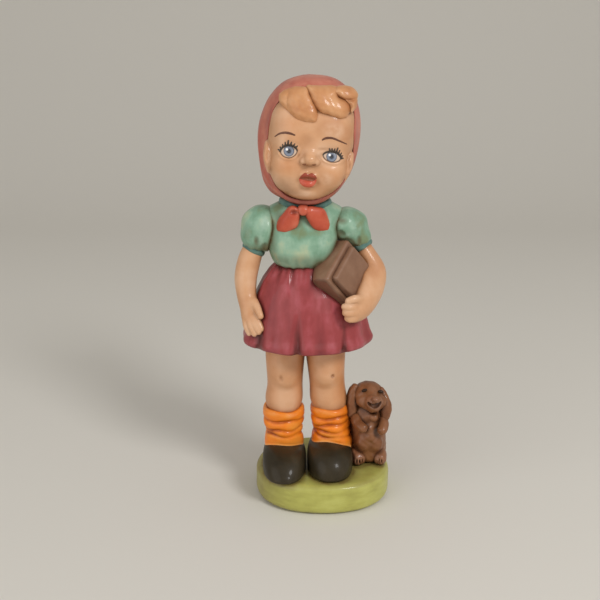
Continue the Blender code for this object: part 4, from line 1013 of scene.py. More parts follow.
dogShape = {
    "head": [((30.8, 1.0, 68.2), (10.8, 10.4, 9.2)), ((33.8, -9.6, 67.6), (5.9, 6.2, 5.2)),
             ((33.8, -7.8, 62.6), (4.8, 5.6, 3.2))],
    "cheeks": [((27.6, -6.2, 66.0), (4.6, 4.2, 4.2)), ((39.0, -6.0, 66.0), (4.0, 4.0, 4.0))],
    "eyes": [(27.6, 74.3, 0.35), (38.6, 73.4, -0.25)], "eyeSize": (1.9, 1.3, 1.1), "eyeFront": -6.8,
    "nose": ((34.5, -15.4, 71.2), (2.6, 2.2, 1.8)),
    "mouth": [(29.8, -12.6, 68.2, 0.8, 1.8), (31.8, -14.6, 66.8, 1.5, 2.4), (34.1, -15.6, 66.2, 2.0, 2.8),
              (36.4, -14.6, 66.9, 1.5, 2.4), (38.4, -12.4, 68.4, 0.8, 1.8)],
    "body": [(31.2, 2.0, 64.0, 5.4, 5.0), (31.2, 1.5, 58.0, 10.2, 9.2), (31.0, 2.0, 48.0, 12.4, 11.4),
             (31.0, 4.0, 36.0, 12.8, 13.0), (31.2, 5.0, 25.0, 13.0, 13.4), (31.2, 5.0, 20.2, 10.6, 11.0)],
    "chest": [((34.2, -8.8, 55.6), (2.8, 2.8, 2.8)), ((32.0, -9.4, 41.4), (4.0, 2.6, 3.4)),
              ((27.4, -7.4, 36.0), (4.4, 3.4, 5.0)), ((36.4, -7.4, 35.6), (4.4, 3.4, 5.0)),
              ((31.6, -9.0, 47.6), (3.0, 2.4, 2.6))],
    "rightEar": [(23.4, 1.2, 75.6, 2.2, 2.6), (20.4, -0.4, 71.0, 3.5, 3.4), (19.8, -2.0, 64.0, 4.2, 3.8),
                 (19.6, -3.2, 52.8, 3.0, 2.8)],
    "leftEar": [(38.4, 0.0, 74.0, 1.8, 2.2), (41.2, -2.6, 69.0, 2.5, 2.8), (42.6, -5.0, 60.8, 3.9, 3.4),
                (41.6, -5.4, 51.8, 2.4, 2.6)],
    "rightForepaw": [(21.8, -2.4, 55.8, 4.2, 3.8), (23.4, -8.6, 51.4, 3.6, 3.4),
                     (26.4, -12.6, 49.8, 3.4, 3.2), (29.0, -14.6, 48.4, 2.9, 2.8)],
    "leftForepaw": [(40.4, -3.0, 54.4, 3.4, 3.6), (41.0, -8.6, 50.4, 3.4, 3.4),
                    (39.6, -12.4, 47.8, 3.3, 3.2), (37.8, -14.4, 46.0, 2.9, 2.8)],
    "rightFoot": [(21.8, 3.0, 26.6, 5.2, 6.0), (23.4, -4.0, 25.4, 5.8, 5.8), (25.6, -11.5, 23.6, 4.6, 3.8)],
    "leftFoot": [(39.4, 3.0, 26.6, 4.4, 5.8), (39.4, -4.0, 25.2, 4.6, 5.4), (39.0, -11.0, 23.4, 4.0, 3.6)],
    "toes": {"rightFoot": (23.1, 25.1, 26.9), "leftFoot": (36.7, 38.3, 40.0)},
    "toeCut": ((-12.6, 24.0), (0.35, 3.0, 2.4)), "toeBlend": 0.8,
    "tail": [(31.6, 15.0, 25.0, 2.6, 2.6), (30.5, 20.0, 24.2, 2.4, 2.4), (26.0, 22.0, 23.6, 2.0, 2.0),
             (22.0, 20.4, 23.4, 1.5, 1.5)],
    "grounded": ("rightFoot", "leftFoot", "tail"), "ground": 20.1, "groundBlend": 1.0,
    "headBlend": 3.0, "cheekBlend": 2.4, "noseBlend": 1.2, "socket": (2.3, 2.0, 1.6), "socketDepth": 1.8,
    "socketBlend": 1.2, "mouthBlend": 0.8, "mouthStain": (0.4, 0.8), "chestBlend": 3.0, "furDepth": 0.14,
    "box": {"rightEar": ((13, -10, 50), (27, 6, 81)), "leftEar": ((36, -11, 46), (49, 6, 80)),
            "rightForepaw": ((18, -19, 43), (33, 2, 61)), "leftForepaw": ((34, -18, 41), (46, 2, 60)),
            "rightFoot": ((15, -14, 20), (32, 10, 34)), "leftFoot": ((34, -13, 20), (47, 10, 34)),
            "tail": ((19, 12, 20), (35, 25, 28))}}


def fur(p):
    # Low tooled strokes over the puppy's coat.
    strokes = np.sin(p[0] * 1.1 + np.sin(p[2] * 0.5) * 2.0)
    return dogShape["furDepth"] * strokes * np.sin(p[2] * 0.6 + p[1] * 0.5)


def dogMouth(p):
    return sweep(p, dogShape["mouth"], (0, 0, 1), 12)


def dogHeadField(p):
    s = dogShape
    d = blob(p, *s["head"][0])
    for form in s["head"][1:]:
        d = join(d, blob(p, *form), s["headBlend"])
    for form in s["cheeks"]:
        d = join(d, blob(p, *form), s["cheekBlend"])
    d = join(d, blob(p, *s["nose"]), s["noseBlend"])
    for x, z, _ in s["eyes"]:
        d = cut(d, blob(p, (x, s["eyeFront"] - s["socketDepth"], z), s["socket"]), s["socketBlend"])
    return cut(d, dogMouth(p), s["mouthBlend"]) + fur(p)


def dogBodyField(p):
    d = stack(p, dogShape["body"], 3.0)
    for form in dogShape["chest"]:
        d = join(d, blob(p, *form), dogShape["chestBlend"])
    return d + fur(p)


def dogLimbField(which):
    s = dogShape
    side = (0, 0, 1) if which == "tail" else (1, 0, 0)

    def field(p):
        d = sweep(p, s[which], side, 18)
        (y, z), size = s["toeCut"]
        for x in s["toes"].get(which, ()):
            d = cut(d, blob(p, (x, y, z), size), s["toeBlend"])
        d = d + fur(p)
        return both(d, s["ground"] - p[2], s["groundBlend"]) if which in s["grounded"] else d
    return field


def dogHeadStain(p):
    # Brown in the mouth.
    start, most = dogShape["mouthStain"]
    return np.clip(start - dogMouth(p), 0.0, most)


cast("dogHeadCasting", dogHeadField, (19, -20, 57), (45, 13, 81), 0.4, "dog_brown", stain=dogHeadStain)
cast("dogBodyCasting", dogBodyField, (16, -14, 19.5), (46, 20, 67), 0.5, "dog_brown")
for which, (low, high) in dogShape["box"].items():
    cast(pieceName("dog", which), dogLimbField(which), low, high, 0.4, "dog_brown")

# Painted face

featureShape = {
    "brows": {"right": [(-22.2, 1.3, 0.3), (-19.7, 3.4, 0.55), (-16.4, 4.5, 0.75), (-13.2, 4.4, 0.75),
                        (-10.4, 3.7, 0.5)],
              "left": [(6.3, 2.4, 0.5), (8.6, 3.6, 0.75), (12.2, 3.8, 0.7), (16.9, 2.3, 0.55),
                       (21.8, 0.4, 0.3)]},
    "upperLip": [(-5.6, -22.2), (-4.2, -19.4), (-2.2, -17.9), (-0.2, -18.5), (1.8, -17.7), (3.8, -18.8),
                 (5.2, -20.8), (2.8, -20.4), (0.0, -19.9), (-3.0, -20.7)],
    "mouth": [(-5.0, -22.0), (-2.8, -20.2), (0.0, -19.5), (2.6, -19.8), (4.8, -20.7), (2.8, -22.7),
              (0.0, -23.2), (-2.8, -22.8)],
    "lowerLip": [(-5.6, -22.2), (-3.6, -22.1), (-0.6, -22.5), (2.6, -22.6), (4.9, -21.4), (4.8, -23.6),
                 (3.0, -25.9), (0.3, -27.0), (-2.6, -26.3), (-4.9, -24.5)],
    "nostrils": [[(-4.3, -12.8, 0.3), (-3.2, -13.1, 0.55), (-2.2, -12.9, 0.3)],
                 [(1.6, -12.6, 0.3), (2.6, -12.8, 0.6), (3.6, -12.4, 0.3)]],
    # lash tips from the outer corner to the inner one
    "lashTips": {"right": [(-19.8, -5.8), (-17.7, -2.5), (-15.0, -0.1), (-11.4, -0.2), (-8.2, -2.4)],
                 "left": [(20.2, -7.8), (19.2, -4.8), (16.9, -2.2), (14.0, -1.9), (11.0, -2.3)]},
    "lashRoots": {"right": (10.0, 146.0), "left": (8.0, 112.0)},
    "glint": (-1.25, 0.9), "lashes": 8, "lidWidth": (0.35, 0.75), "lowerLidWidth": 0.2,
    # how far each coat stands off the face, and how deep it reaches into it
    "coat": {"lid": 0.5, "lowerLid": 0.4, "brow": 0.14, "mouth": 0.12, "upperLip": 0.2, "lowerLip": 0.2,
             "nostril": 0.1},
    "coatDepth": 0.8, "eyeBulge": (0.15, 0.9, 3.0), "eyeDepth": 1.5, "lidPoints": 13, "lidSpan": (2, 178),
    "frontSearch": (-34.0, -10.0, 0.05)}


def headPoint(x, y, z):
    # A place in the head's own frame, given in the row frame.
    c, s = math.cos(headShape["roll"]), math.sin(headShape["roll"])
    return headShape["centre"][0] + x * c + z * s, y, headShape["centre"][2] - x * s + z * c


def faceFront(x, z):
    # How far forward the face lies at a place in the head's own x and z.
    depths = np.arange(*featureShape["frontSearch"])
    wx, wy, wz = headPoint(x, depths, z)
    return depths[np.argmax(headField((wx + 0.0 * depths, wy, wz + 0.0 * depths)) < 0)]


def facePaint(name, mask, spot, half, lift, glaze):
    # A thin coat of colour on the face, inside a mask in the head's own x and z.
    def field(p):
        q = headLocal(p)
        face = headField(p)
        coat = np.maximum(face - lift, -(face + featureShape["coatDepth"]))
        return np.maximum(coat, -mask(q[0], q[2]))
    front = faceFront(*spot)
    x, _, z = headPoint(spot[0], front, spot[1])
    low, high = (x - half[0], front - 5.0, z - half[1]), (x + half[0], front + 6.0, z + half[1])
    cast(name, field, low, high, 0.26, glaze)


def brushed(points):
    return lambda u, v: strokeDistance(u, v, points)


def filled(outline):
    return lambda u, v: outlineDistance(u, v, outline)


def lidPlace(which, angle):
    # A place on the edge of an eye, in the head's own x and z.
    x, z, tilt = faceShape["eyes"][which]
    a, b = faceShape["eyeHalf"][which]
    n = 2.0 / faceShape["eyePoint"]
    along = a * math.copysign(abs(math.cos(angle)) ** n, math.cos(angle))
    up = b * math.copysign(abs(math.sin(angle)) ** n, math.sin(angle))
    c, s = math.cos(math.radians(tilt)), math.sin(math.radians(tilt))
    return x + along * c - up * s, z + along * s + up * c


def eyeField(which):
    lift, bulge, reach = featureShape["eyeBulge"]

    def field(p):
        q = headLocal(p)
        face = faceField(p)
        inner = eyeDistance(q[0], q[2], which)
        coat = face - lift - bulge * np.sqrt(np.clip(inner / reach, 0.0, 1.0))
        return np.maximum(np.maximum(coat, -(face + featureShape["eyeDepth"])), -inner)
    return field


def reachFrom(x, z):
    def reach(p):
        q = headLocal(p)
        return np.hypot(q[0] - x, q[2] - z)
    return reach


coat = featureShape["coat"]
for which in ("right", "left"):
    eyeX, eyeZ, _ = faceShape["eyes"][which]
    irisX, irisZ = faceShape["iris"][which]
    front = faceFront(eyeX, eyeZ)
    x, _, z = headPoint(eyeX, front, eyeZ)
    low, high = (x - 6.5, front - 4.0, z - 5.5), (x + 6.5, front + 7.0, z + 5.5)
    # The rise carries a painted shadow of the upper lid over the top of the eye.
    cast(which + "Eye", eyeField(which), low, high, 0.25, "eyePaint", irisReach=reachFrom(irisX, irisZ),
         glintReach=reachFrom(irisX + featureShape["glint"][0], irisZ + featureShape["glint"][1]),
         lidReach=lambda p: eyeDistance(*headLocal(p)[::2], which), rise=lambda p: headLocal(p)[2] - eyeZ)
    turns = [math.radians(a) for a in np.linspace(*featureShape["lidSpan"], featureShape["lidPoints"])]
    thin, thick = featureShape["lidWidth"]
    upper = []
    for k, turn in enumerate(turns):
        width = thin + (thick - thin) * math.sin(math.pi * k / (len(turns) - 1.0))
        upper.append((*lidPlace(which, turn), width))
    lower = [(*lidPlace(which, -turn), featureShape["lowerLidWidth"]) for turn in turns]
    brow = featureShape["brows"][which]
    facePaint(which + "LidLine", brushed(upper), (eyeX, eyeZ + 2.0), (8.0, 6.0), coat["lid"], "lashPaint")
    facePaint(which + "LowerLidLine", brushed(lower), (eyeX, eyeZ - 2.0), (8.0, 6.0), coat["lowerLid"],
              "lidPaint")
    facePaint(which + "Brow", brushed(brow), (brow[2][0], brow[2][1] - 1.0), (8.5, 5.5), coat["brow"],
              "browPaint")

for name in ("mouth", "upperLip", "lowerLip"):
    facePaint(name + "Colour", filled(featureShape[name]), (0.0, -22.0), (7.5, 6.5), coat[name],
              name + "Paint")
for i, line in enumerate(featureShape["nostrils"]):
    facePaint(f"nostril{i}", brushed(line), line[1][:2], (3.5, 3.0), coat["nostril"], "nostrilPaint")

for i, (x, z, slant) in enumerate(dogShape["eyes"]):
    c, s = math.cos(slant), math.sin(slant)
    eyeAxes = ((c, 0.0, s), (0.0, 1.0, 0.0), (-s, 0.0, c))
    cast(f"dogEye{i}", lambda p: blob(p, (x, dogShape["eyeFront"], z), dogShape["eyeSize"], eyeAxes),
         (x - 2.5, -11, z - 2.5), (x + 2.5, -4, z + 2.5), 0.25, "dogEyePaint")

# Lashes: short painted spikes that fan out from the upper lids

lashKit = {"Lash Width": 0.9 * metre, "Lash Length": 1.0, "Length Spread": 0.12, "Seed": 7,
           "sides": 7, "tip": 0.3, "rootLift": 0.3, "tipLift": 0.45}


def lashTree(material):
    tree = bpy.data.node_groups.new("lashFan", "GeometryNodeTree")
    tree.interface.new_socket("Geometry", in_out="INPUT", socket_type="NodeSocketGeometry")
    for name in ("Lash Width", "Lash Length", "Length Spread"):
        tree.interface.new_socket(name, in_out="INPUT", socket_type="NodeSocketFloat")
    tree.interface.new_socket("Seed", in_out="INPUT", socket_type="NodeSocketInt")
    tree.interface.new_socket("Geometry", in_out="OUTPUT", socket_type="NodeSocketGeometry")
    add = tree.nodes.new
    link = tree.links.new
    source, target = add("NodeGroupInput"), add("NodeGroupOutput")
    spike = add("GeometryNodeMeshCone")
    spike.inputs["Vertices"].default_value = lashKit["sides"]
    spike.inputs["Radius Top"].default_value = lashKit["tip"]
    spike.inputs["Radius Bottom"].default_value = 1.0
    spike.inputs["Depth"].default_value = 1.0
    fan, reach = add("GeometryNodeInputNamedAttribute"), add("GeometryNodeInputNamedAttribute")
    fan.data_type = "FLOAT_VECTOR"
    fan.inputs["Name"].default_value = "fan"
    reach.inputs["Name"].default_value = "reach"
    aim = add("FunctionNodeAlignRotationToVector")
    aim.axis = "Z"
    link(fan.outputs["Attribute"], aim.inputs["Vector"])
    low, high = add("ShaderNodeMath"), add("ShaderNodeMath")
    low.operation, high.operation = "SUBTRACT", "ADD"
    low.inputs[0].default_value = high.inputs[0].default_value = 1.0
    link(source.outputs["Length Spread"], low.inputs[1])
    link(source.outputs["Length Spread"], high.inputs[1])
    spread = add("FunctionNodeRandomValue")
    link(low.outputs[0], spread.inputs[2])
    link(high.outputs[0], spread.inputs[3])
    link(source.outputs["Seed"], spread.inputs["Seed"])
    grow, stretch = add("ShaderNodeMath"), add("ShaderNodeMath")
    grow.operation = stretch.operation = "MULTIPLY"
    link(reach.outputs["Attribute"], grow.inputs[0])
    link(spread.outputs[1], grow.inputs[1])
    link(grow.outputs[0], stretch.inputs[0])
    link(source.outputs["Lash Length"], stretch.inputs[1])
    size = add("ShaderNodeCombineXYZ")
    link(source.outputs["Lash Width"], size.inputs["X"])
    link(source.outputs["Lash Width"], size.inputs["Y"])
    link(stretch.outputs[0], size.inputs["Z"])
    place = add("GeometryNodeInstanceOnPoints")
    link(source.outputs["Geometry"], place.inputs["Points"])
    link(spike.outputs["Mesh"], place.inputs["Instance"])
    link(aim.outputs["Rotation"], place.inputs["Rotation"])
    link(size.outputs["Vector"], place.inputs["Scale"])
    real, coat = add("GeometryNodeRealizeInstances"), add("GeometryNodeSetMaterial")
    coat.inputs["Material"].default_value = material
    link(place.outputs["Instances"], real.inputs["Geometry"])
    link(real.outputs["Geometry"], coat.inputs["Geometry"])
    link(coat.outputs["Geometry"], target.inputs["Geometry"])
    return tree


def lashFan(which, tree):
    roots, fans = [], []
    tips = smoothRows(featureShape["lashTips"][which], featureShape["lashes"])
    angles = np.radians(np.linspace(*featureShape["lashRoots"][which], len(tips)))
    for angle, tip in zip(angles, tips):
        root = lidPlace(which, angle if which == "left" else math.pi - angle)
        start = headPoint(root[0], faceFront(*root) - lashKit["rootLift"], root[1])
        end = headPoint(tip[0], faceFront(*tip) - lashKit["tipLift"], tip[1])
        roots.append([c * metre for c in start])
        fans.append([(b - a) * metre for a, b in zip(start, end)])
    mesh = bpy.data.meshes.new(which + "LashRoots")
    mesh.from_pydata(roots, [], [])
    aims = mesh.attributes.new("fan", "FLOAT_VECTOR", "POINT")
    aims.data.foreach_set("vector", np.array(fans, dtype=np.float32).ravel())
    lengths = mesh.attributes.new("reach", "FLOAT", "POINT")
    lengths.data.foreach_set("value", np.linalg.norm(np.array(fans), axis=1).astype(np.float32))
    obj = bpy.data.objects.new(which + "Lashes", mesh)
    bpy.context.scene.collection.objects.link(obj)
    mod = obj.modifiers.new("lashFan", "NODES")
    mod.node_group = tree
    for item in tree.interface.items_tree:
        if item.in_out == "INPUT" and item.name in lashKit:
            mod[item.identifier] = lashKit[item.name]
    done = bpy.data.meshes.new_from_object(obj.evaluated_get(bpy.context.evaluated_depsgraph_get()))
    obj.modifiers.clear()
    obj.data = done
    done.polygons.foreach_set("use_smooth", np.ones(len(done.polygons), dtype=bool))
    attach(obj, "root")
    print("lashes", which, len(done.polygons), "faces")


# Paint

wearKit = {"washReach": (1.5, 3.0, 6.0), "washMost": 1.5, "washGain": 0.75, "ridgeReach": 2.5}
clayLow = np.array(modelKit["clayLow"])
for casting in castings:
    verts, normals = casting["verts"], casting["normals"]
    shade = 0.0
    for reach in wearKit["washReach"]:
        found = sample(clay, clayLow, modelKit["clayCell"], verts + normals * reach)
        near = np.clip((reach - found) / reach, 0.0, wearKit["washMost"])
        shade = shade + near / len(wearKit["washReach"])
    reach = wearKit["ridgeReach"]
    below = sample(clay, clayLow, modelKit["clayCell"], verts - normals * reach)
    wear = casting["wear"]
    # The stain lays the glaze's brown and painted shade into the wash; the pale places lay worn tone and
    # painted highlights.
    wash = np.clip(shade * wearKit["washGain"], 0.0, 1.0) + wear.pop("stain", 0.0)
    ridge = np.maximum(np.clip((reach + below) / reach, 0.0, 1.0), wear.pop("pale", 0.0))
    for label, values in {"wash": np.minimum(wash, 1.0), "ridge": ridge, **wear}.items():
        layer = casting["obj"].data.attributes.new(label, "FLOAT", "POINT")
        layer.data.foreach_set("value", np.asarray(values).astype(np.float32))

# tones from dark to light, the brown wash that lies in the hollows and is also laid as painted shade,
# the worn tone on high places and painted highlights, and the scale of the brush strokes along x, y and z
paintBook = {
    "base_green": {"tones": [(166, 162, 83), (180, 178, 92), (191, 190, 104)], "wash": (118, 92, 50),
                   "worn": (204, 201, 128), "strokes": (80, 80, 300), "depth": 0.8},
    "shoe_black": {"tones": [(44, 37, 24), (54, 46, 31), (66, 57, 41)], "wash": (26, 21, 13),
                   "worn": (78, 68, 52), "strokes": (90, 60, 60), "depth": 0.6, "gloss": 0.15},
    "sock_orange": {"tones": [(240, 120, 18), (254, 143, 34), (255, 164, 64)], "wash": (168, 74, 4),
                    "worn": (255, 196, 134), "strokes": (60, 60, 160)},
    "skin": {"tones": [(199, 143, 102), (214, 163, 122), (224, 180, 144)], "wash": (146, 94, 54),
             "worn": (230, 190, 158), "strokes": (45, 45, 45), "blush": (210, 134, 76), "depth": 0.85,
             "mottle": 55.0, "spread": (0.36, 0.64)},
    "skirt_red": {"tones": [(138, 52, 54), (156, 64, 66), (178, 86, 94)], "wash": (90, 32, 30),
                  "worn": (192, 106, 118), "strokes": (150, 150, 26)},
    "blouse_teal": {"tones": [(120, 138, 102), (122, 160, 134), (146, 180, 154), (176, 190, 156)],
                    "wash": (98, 82, 50), "worn": (178, 202, 184), "strokes": (75, 75, 45), "mottle": 80.0,
                    "spread": (0.37, 0.63)},
    "trim_teal": {"tones": [(58, 96, 90), (80, 116, 108), (108, 140, 126)], "wash": (44, 48, 38),
                  "worn": (130, 160, 146), "strokes": (90, 90, 90)},
    "book_brown": {"tones": [(122, 87, 66), (136, 100, 77), (148, 113, 90)], "wash": (82, 52, 38),
                   "worn": (172, 138, 116), "strokes": (50, 120, 50), "depth": 0.6},
    "bow_red": {"tones": [(176, 66, 42), (192, 82, 56), (208, 104, 76)], "wash": (116, 42, 26),
                "worn": (220, 132, 104), "strokes": (90, 60, 90)},
    "scarf_red": {"tones": [(164, 82, 68), (186, 100, 82), (200, 120, 98)], "wash": (112, 50, 42),
                  "worn": (206, 132, 108), "strokes": (60, 60, 50)},
    "hair_tan": {"tones": [(190, 126, 80), (206, 146, 98), (219, 165, 118)], "wash": (138, 84, 46),
                 "worn": (230, 184, 140), "strokes": (120, 60, 120), "depth": 0.8},
    "dog_brown": {"tones": [(112, 66, 38), (132, 84, 51), (150, 101, 69)], "wash": (64, 34, 16),
                  "worn": (168, 122, 98), "strokes": (160, 160, 120)},
    "browPaint": {"tones": [(96, 60, 44), (106, 68, 50), (120, 82, 62)], "wash": (86, 54, 40),
                  "worn": (120, 82, 62)},
    "lashPaint": {"tones": [(62, 52, 46), (72, 62, 54), (86, 74, 64)], "wash": (54, 46, 40),
                  "worn": (92, 80, 68)},
    "lidPaint": {"tones": [(104, 78, 64), (116, 88, 72), (130, 100, 82)], "wash": (92, 68, 54),
                 "worn": (136, 106, 86)},
    "nostrilPaint": {"tones": [(140, 90, 62), (152, 100, 70), (164, 110, 80)], "wash": (130, 82, 56),
                     "worn": (156, 104, 76)},
    "mouthPaint": {"tones": [(142, 80, 56), (154, 90, 64), (166, 100, 74)], "wash": (128, 70, 48),
                   "worn": (168, 104, 78)},
    "upperLipPaint": {"tones": [(146, 62, 42), (160, 72, 50), (172, 84, 60)], "wash": (118, 52, 34),
                      "worn": (182, 94, 70)},
    "lowerLipPaint": {"tones": [(188, 74, 54), (204, 90, 66), (216, 110, 86)], "wash": (150, 58, 40),
                      "worn": (226, 130, 104)},
    "dogEyePaint": {"tones": [(40, 26, 18), (48, 32, 22), (58, 40, 28)], "wash": (30, 19, 13),
                    "worn": (66, 47, 34), "gloss": 0.12}}

# how a glaze is laid on: shares and grains of its tones, where wash and worn tone start and end, its shine
glazeKit = {
    "spread": (0.34, 0.66), "mottle": 75.0, "mottleShare": 0.45,
    "strokes": (90, 90, 90), "strokeShare": 0.55, "blush": (0.0, 2.0, 0.0, 0.56),
    "patch": 160.0, "worn": (0.25, 0.85), "wornPatch": (0.35, 0.6, 0.1, 0.7),
    "wash": (0.12, 0.75, 0.0), "washDepth": 0.92, "washPatch": (0.3, 0.7, 0.7, 1.15),
    "rough": 0.46, "gloss": 0.28, "coatRough": 0.12,
    "grain": 420.0, "grainStrength": 0.12, "grainDepth": 0.0006}
# colours by distance from the middle of the iris, as a share of the reach, and the tones laid over them
eyeKit = {
    "bands": [(0.0, (36, 40, 50)), (0.20, (44, 50, 62)), (0.27, (98, 107, 125)), (0.46, (140, 149, 165)),
              (0.56, (104, 112, 128)), (0.62, (70, 78, 98)), (0.67, (216, 188, 164)),
              (1.0, (222, 194, 170))],
    "reach": 5.0, "rough": 0.25,
    "fleck": 900.0, "fleckSpan": (0.4, 0.7, 0.0, 0.16), "fleckTone": (196, 186, 176),
    # a painted shadow of the upper lid over the top of the eye, then the lid line and the glint
    "over": [("rise", (0.6, 3.6, 0.0, 0.35), (70, 66, 76)),
             ("lidReach", (0.5, 0.15, 0.0, 0.6), (96, 64, 48)),
             ("glintReach", (0.85, 0.6), (250, 250, 250))]}


def ink(colour):
    return (*[((c / 255.0 + 0.055) / 1.055) ** 2.4 if c > 10 else c / 3294.6 for c in colour], 1.0)


def blend(tree, factor, below, above):
    mix = tree.nodes.new("ShaderNodeMix")
    mix.data_type = "RGBA"
    tree.links.new(factor, mix.inputs["Factor"])
    for value, name in ((below, "A"), (above, "B")):
        if isinstance(value, tuple):
            mix.inputs[name].default_value = value
        else:
            tree.links.new(value, mix.inputs[name])
    return mix.outputs["Result"]


def reading(tree, label):
    node = tree.nodes.new("ShaderNodeAttribute")
    node.attribute_name = label
    return node.outputs["Fac"]


def span(tree, value, low, high, start=0.0, stop=1.0):
    node = tree.nodes.new("ShaderNodeMapRange")
    node.inputs["From Min"].default_value = low
    node.inputs["From Max"].default_value = high
    node.inputs["To Min"].default_value = start
    node.inputs["To Max"].default_value = stop
    tree.links.new(value, node.inputs["Value"])
    return node.outputs["Result"]


def sums(tree, operation, one, two):
    node = tree.nodes.new("ShaderNodeMath")
    node.operation = operation
    for i, value in enumerate((one, two)):
        if isinstance(value, float):
            node.inputs[i].default_value = value
        else:
            tree.links.new(value, node.inputs[i])
    return node.outputs[0]


def speckle(tree, scale, detail=4.0, stretch=None):
    place = tree.nodes.new("ShaderNodeTexCoord")
    noise = tree.nodes.new("ShaderNodeTexNoise")
    noise.inputs["Scale"].default_value = 1.0 if stretch else scale
    noise.inputs["Detail"].default_value = detail
    source = place.outputs["Object"]
    if stretch:
        mapping = tree.nodes.new("ShaderNodeMapping")
        mapping.inputs["Scale"].default_value = stretch
        tree.links.new(source, mapping.inputs["Vector"])
        source = mapping.outputs["Vector"]
    tree.links.new(source, noise.inputs["Vector"])
    return noise.outputs["Fac"]


def ramp(tree, places, colours):
    node = tree.nodes.new("ShaderNodeValToRGB")
    while len(node.color_ramp.elements) < len(colours):
        node.color_ramp.elements.new(0.5)
    for element, place, colour in zip(node.color_ramp.elements, places, colours):
        element.position = place
        element.color = ink(colour)
    return node


def finish(tree, colour, rough=glazeKit["rough"], gloss=glazeKit["gloss"]):
    shader = tree.nodes["Principled BSDF"]
    tree.links.new(colour, shader.inputs["Base Color"])
    shader.inputs["Roughness"].default_value = rough
    shader.inputs["Specular IOR Level"].default_value = gloss
    shader.inputs["Coat Weight"].default_value = gloss
    shader.inputs["Coat Roughness"].default_value = glazeKit["coatRough"]
    grain = tree.nodes.new("ShaderNodeBump")
    grain.inputs["Strength"].default_value = glazeKit["grainStrength"]
    grain.inputs["Distance"].default_value = glazeKit["grainDepth"]
    tree.links.new(speckle(tree, glazeKit["grain"], 3.0), grain.inputs["Height"])
    tree.links.new(grain.outputs["Normal"], shader.inputs["Normal"])


def newGlaze(name):
    mat = bpy.data.materials.new(name)
    mat.use_nodes = True
    return mat, mat.node_tree


def paint(slot):
    kit, look = glazeKit, paintBook[slot]
    mat, tree = newGlaze(slot + "Glaze")
    tone = ramp(tree, np.linspace(*look.get("spread", kit["spread"]), len(look["tones"])), look["tones"])
    mottle = speckle(tree, look.get("mottle", kit["mottle"]))
    strokes = speckle(tree, 1.0, 5.0, look.get("strokes", kit["strokes"]))
    mottle = sums(tree, "MULTIPLY", mottle, kit["mottleShare"])
    strokes = sums(tree, "MULTIPLY", strokes, kit["strokeShare"])
    tree.links.new(sums(tree, "ADD", mottle, strokes), tone.inputs["Fac"])
    colour = tone.outputs["Color"]
    if "blush" in look:
        colour = blend(tree, span(tree, reading(tree, "blush"), *kit["blush"]), colour, ink(look["blush"]))
    patch = speckle(tree, kit["patch"])
    worn = span(tree, reading(tree, "ridge"), *kit["worn"])
    worn = sums(tree, "MULTIPLY", worn, span(tree, patch, *kit["wornPatch"]))
    colour = blend(tree, worn, colour, ink(look["worn"]))
    wash = span(tree, reading(tree, "wash"), *kit["wash"], look.get("depth", kit["washDepth"]))
    wash = sums(tree, "MULTIPLY", wash, span(tree, patch, *kit["washPatch"]))
    colour = blend(tree, sums(tree, "MINIMUM", wash, 1.0), colour, ink(look["wash"]))
    finish(tree, colour, gloss=look.get("gloss", kit["gloss"]))
    return mat


def eyePaint():
    kit = eyeKit
    mat, tree = newGlaze("eyePaint")
    iris = ramp(tree, *zip(*kit["bands"]))
    tree.links.new(span(tree, reading(tree, "irisReach"), 0.0, kit["reach"]), iris.inputs["Fac"])
    fleck = span(tree, speckle(tree, kit["fleck"]), *kit["fleckSpan"])
    colour = blend(tree, fleck, iris.outputs["Color"], ink(kit["fleckTone"]))
    for label, reach, tone in kit["over"]:
        colour = blend(tree, span(tree, reading(tree, label), *reach), colour, ink(tone))
    finish(tree, colour, kit["rough"])
    return mat


glazes = {slot: paint(slot) for slot in paintBook}
glazes["eyePaint"] = eyePaint()
tree = lashTree(glazes["lashPaint"])
lashFan("right", tree)
lashFan("left", tree)
for casting in castings:
    casting["obj"].data.materials.append(glazes[casting["glaze"]])
    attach(casting["obj"], "root")
    if casting["node"]:
        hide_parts(casting["node"])
print("painted", len(castings), "castings")

# Stage

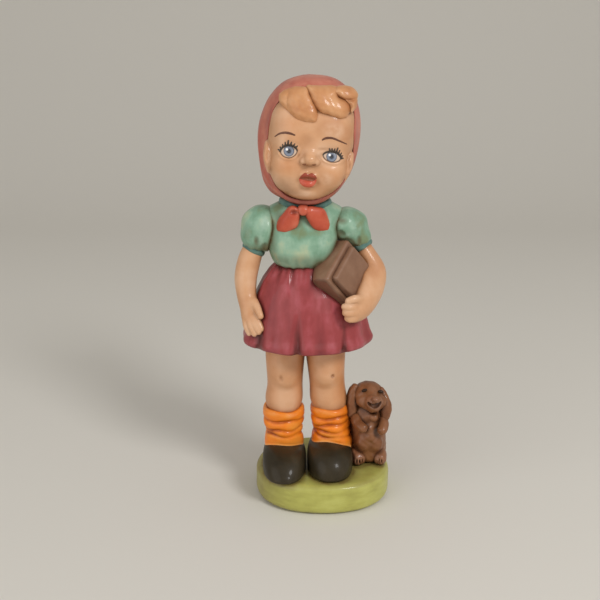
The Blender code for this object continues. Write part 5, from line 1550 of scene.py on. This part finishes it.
stageKit = {
    "camera": (-0.0154, -0.568, 0.298), "pitch": 74.0, "lens": 54.0, "sensor": 36.0,
    "sweepFront": -2.5, "sweepBend": 0.9, "sweepRadius": 0.8, "sweepTop": 3.0, "sweepHalfWidth": 3.0,
    "floorDrop": 0.0005, "floorTone": (0.72, 0.69, 0.63, 1.0), "floorRough": 0.8,
    # place, size and power of each lamp, and the place that both shine at
    "lamps": [((0.75, -0.95, 1.05), 0.45, 10.6), ((-0.95, -0.85, 0.6), 1.4, 4.8)],
    "lampTarget": (0.0, 0.0, 0.14), "skyTone": (1.0, 0.98, 0.95, 1.0), "skyStrength": 0.46}
profile = [(stageKit["sweepFront"], 0.0)]
for angle in range(0, 91, 6):
    c, s = math.cos(math.radians(angle)), math.sin(math.radians(angle))
    profile.append((stageKit["sweepBend"] + stageKit["sweepRadius"] * s,
                    stageKit["sweepRadius"] * (1.0 - c)))
profile.append((profile[-1][0], stageKit["sweepTop"]))
half = stageKit["sweepHalfWidth"]
floorVerts = [(x, y, z - stageKit["floorDrop"]) for y, z in profile for x in (-half, half)]
floorFaces = [(2 * k, 2 * k + 1, 2 * k + 3, 2 * k + 2) for k in range(len(profile) - 1)]
floorMesh = bpy.data.meshes.new("floor")
floorMesh.from_pydata(floorVerts, [], floorFaces)
floorMesh.polygons.foreach_set("use_smooth", [True] * len(floorFaces))
floor = bpy.data.objects.new("floor", floorMesh)
bpy.context.scene.collection.objects.link(floor)
floorPaint, tree = newGlaze("floorPaint")
tree.nodes["Principled BSDF"].inputs["Base Color"].default_value = stageKit["floorTone"]
tree.nodes["Principled BSDF"].inputs["Roughness"].default_value = stageKit["floorRough"]
floor.data.materials.append(floorPaint)

camera = bpy.data.objects.new("camera", bpy.data.cameras.new("camera"))
camera.location = stageKit["camera"]
camera.rotation_euler = (math.radians(stageKit["pitch"]), 0.0, 0.0)
camera.data.lens = stageKit["lens"]
camera.data.sensor_width = stageKit["sensor"]
bpy.context.scene.collection.objects.link(camera)
bpy.context.scene.camera = camera

for i, (spot, size, power) in enumerate(stageKit["lamps"]):
    lamp = bpy.data.lights.new(f"lamp{i}", "AREA")
    lamp.shape = "DISK"
    lamp.size = size
    lamp.energy = power
    lampObject = bpy.data.objects.new(f"lamp{i}", lamp)
    lampObject.location = spot
    aim = Vector(stageKit["lampTarget"]) - Vector(spot)
    lampObject.rotation_euler = aim.to_track_quat("-Z", "Y").to_euler()
    bpy.context.scene.collection.objects.link(lampObject)
world = bpy.data.worlds.new("studio")
world.use_nodes = True
world.node_tree.nodes["Background"].inputs["Color"].default_value = stageKit["skyTone"]
world.node_tree.nodes["Background"].inputs["Strength"].default_value = stageKit["skyStrength"]
bpy.context.scene.world = world
bpy.context.scene.view_settings.view_transform = "Standard"
print("stage set")
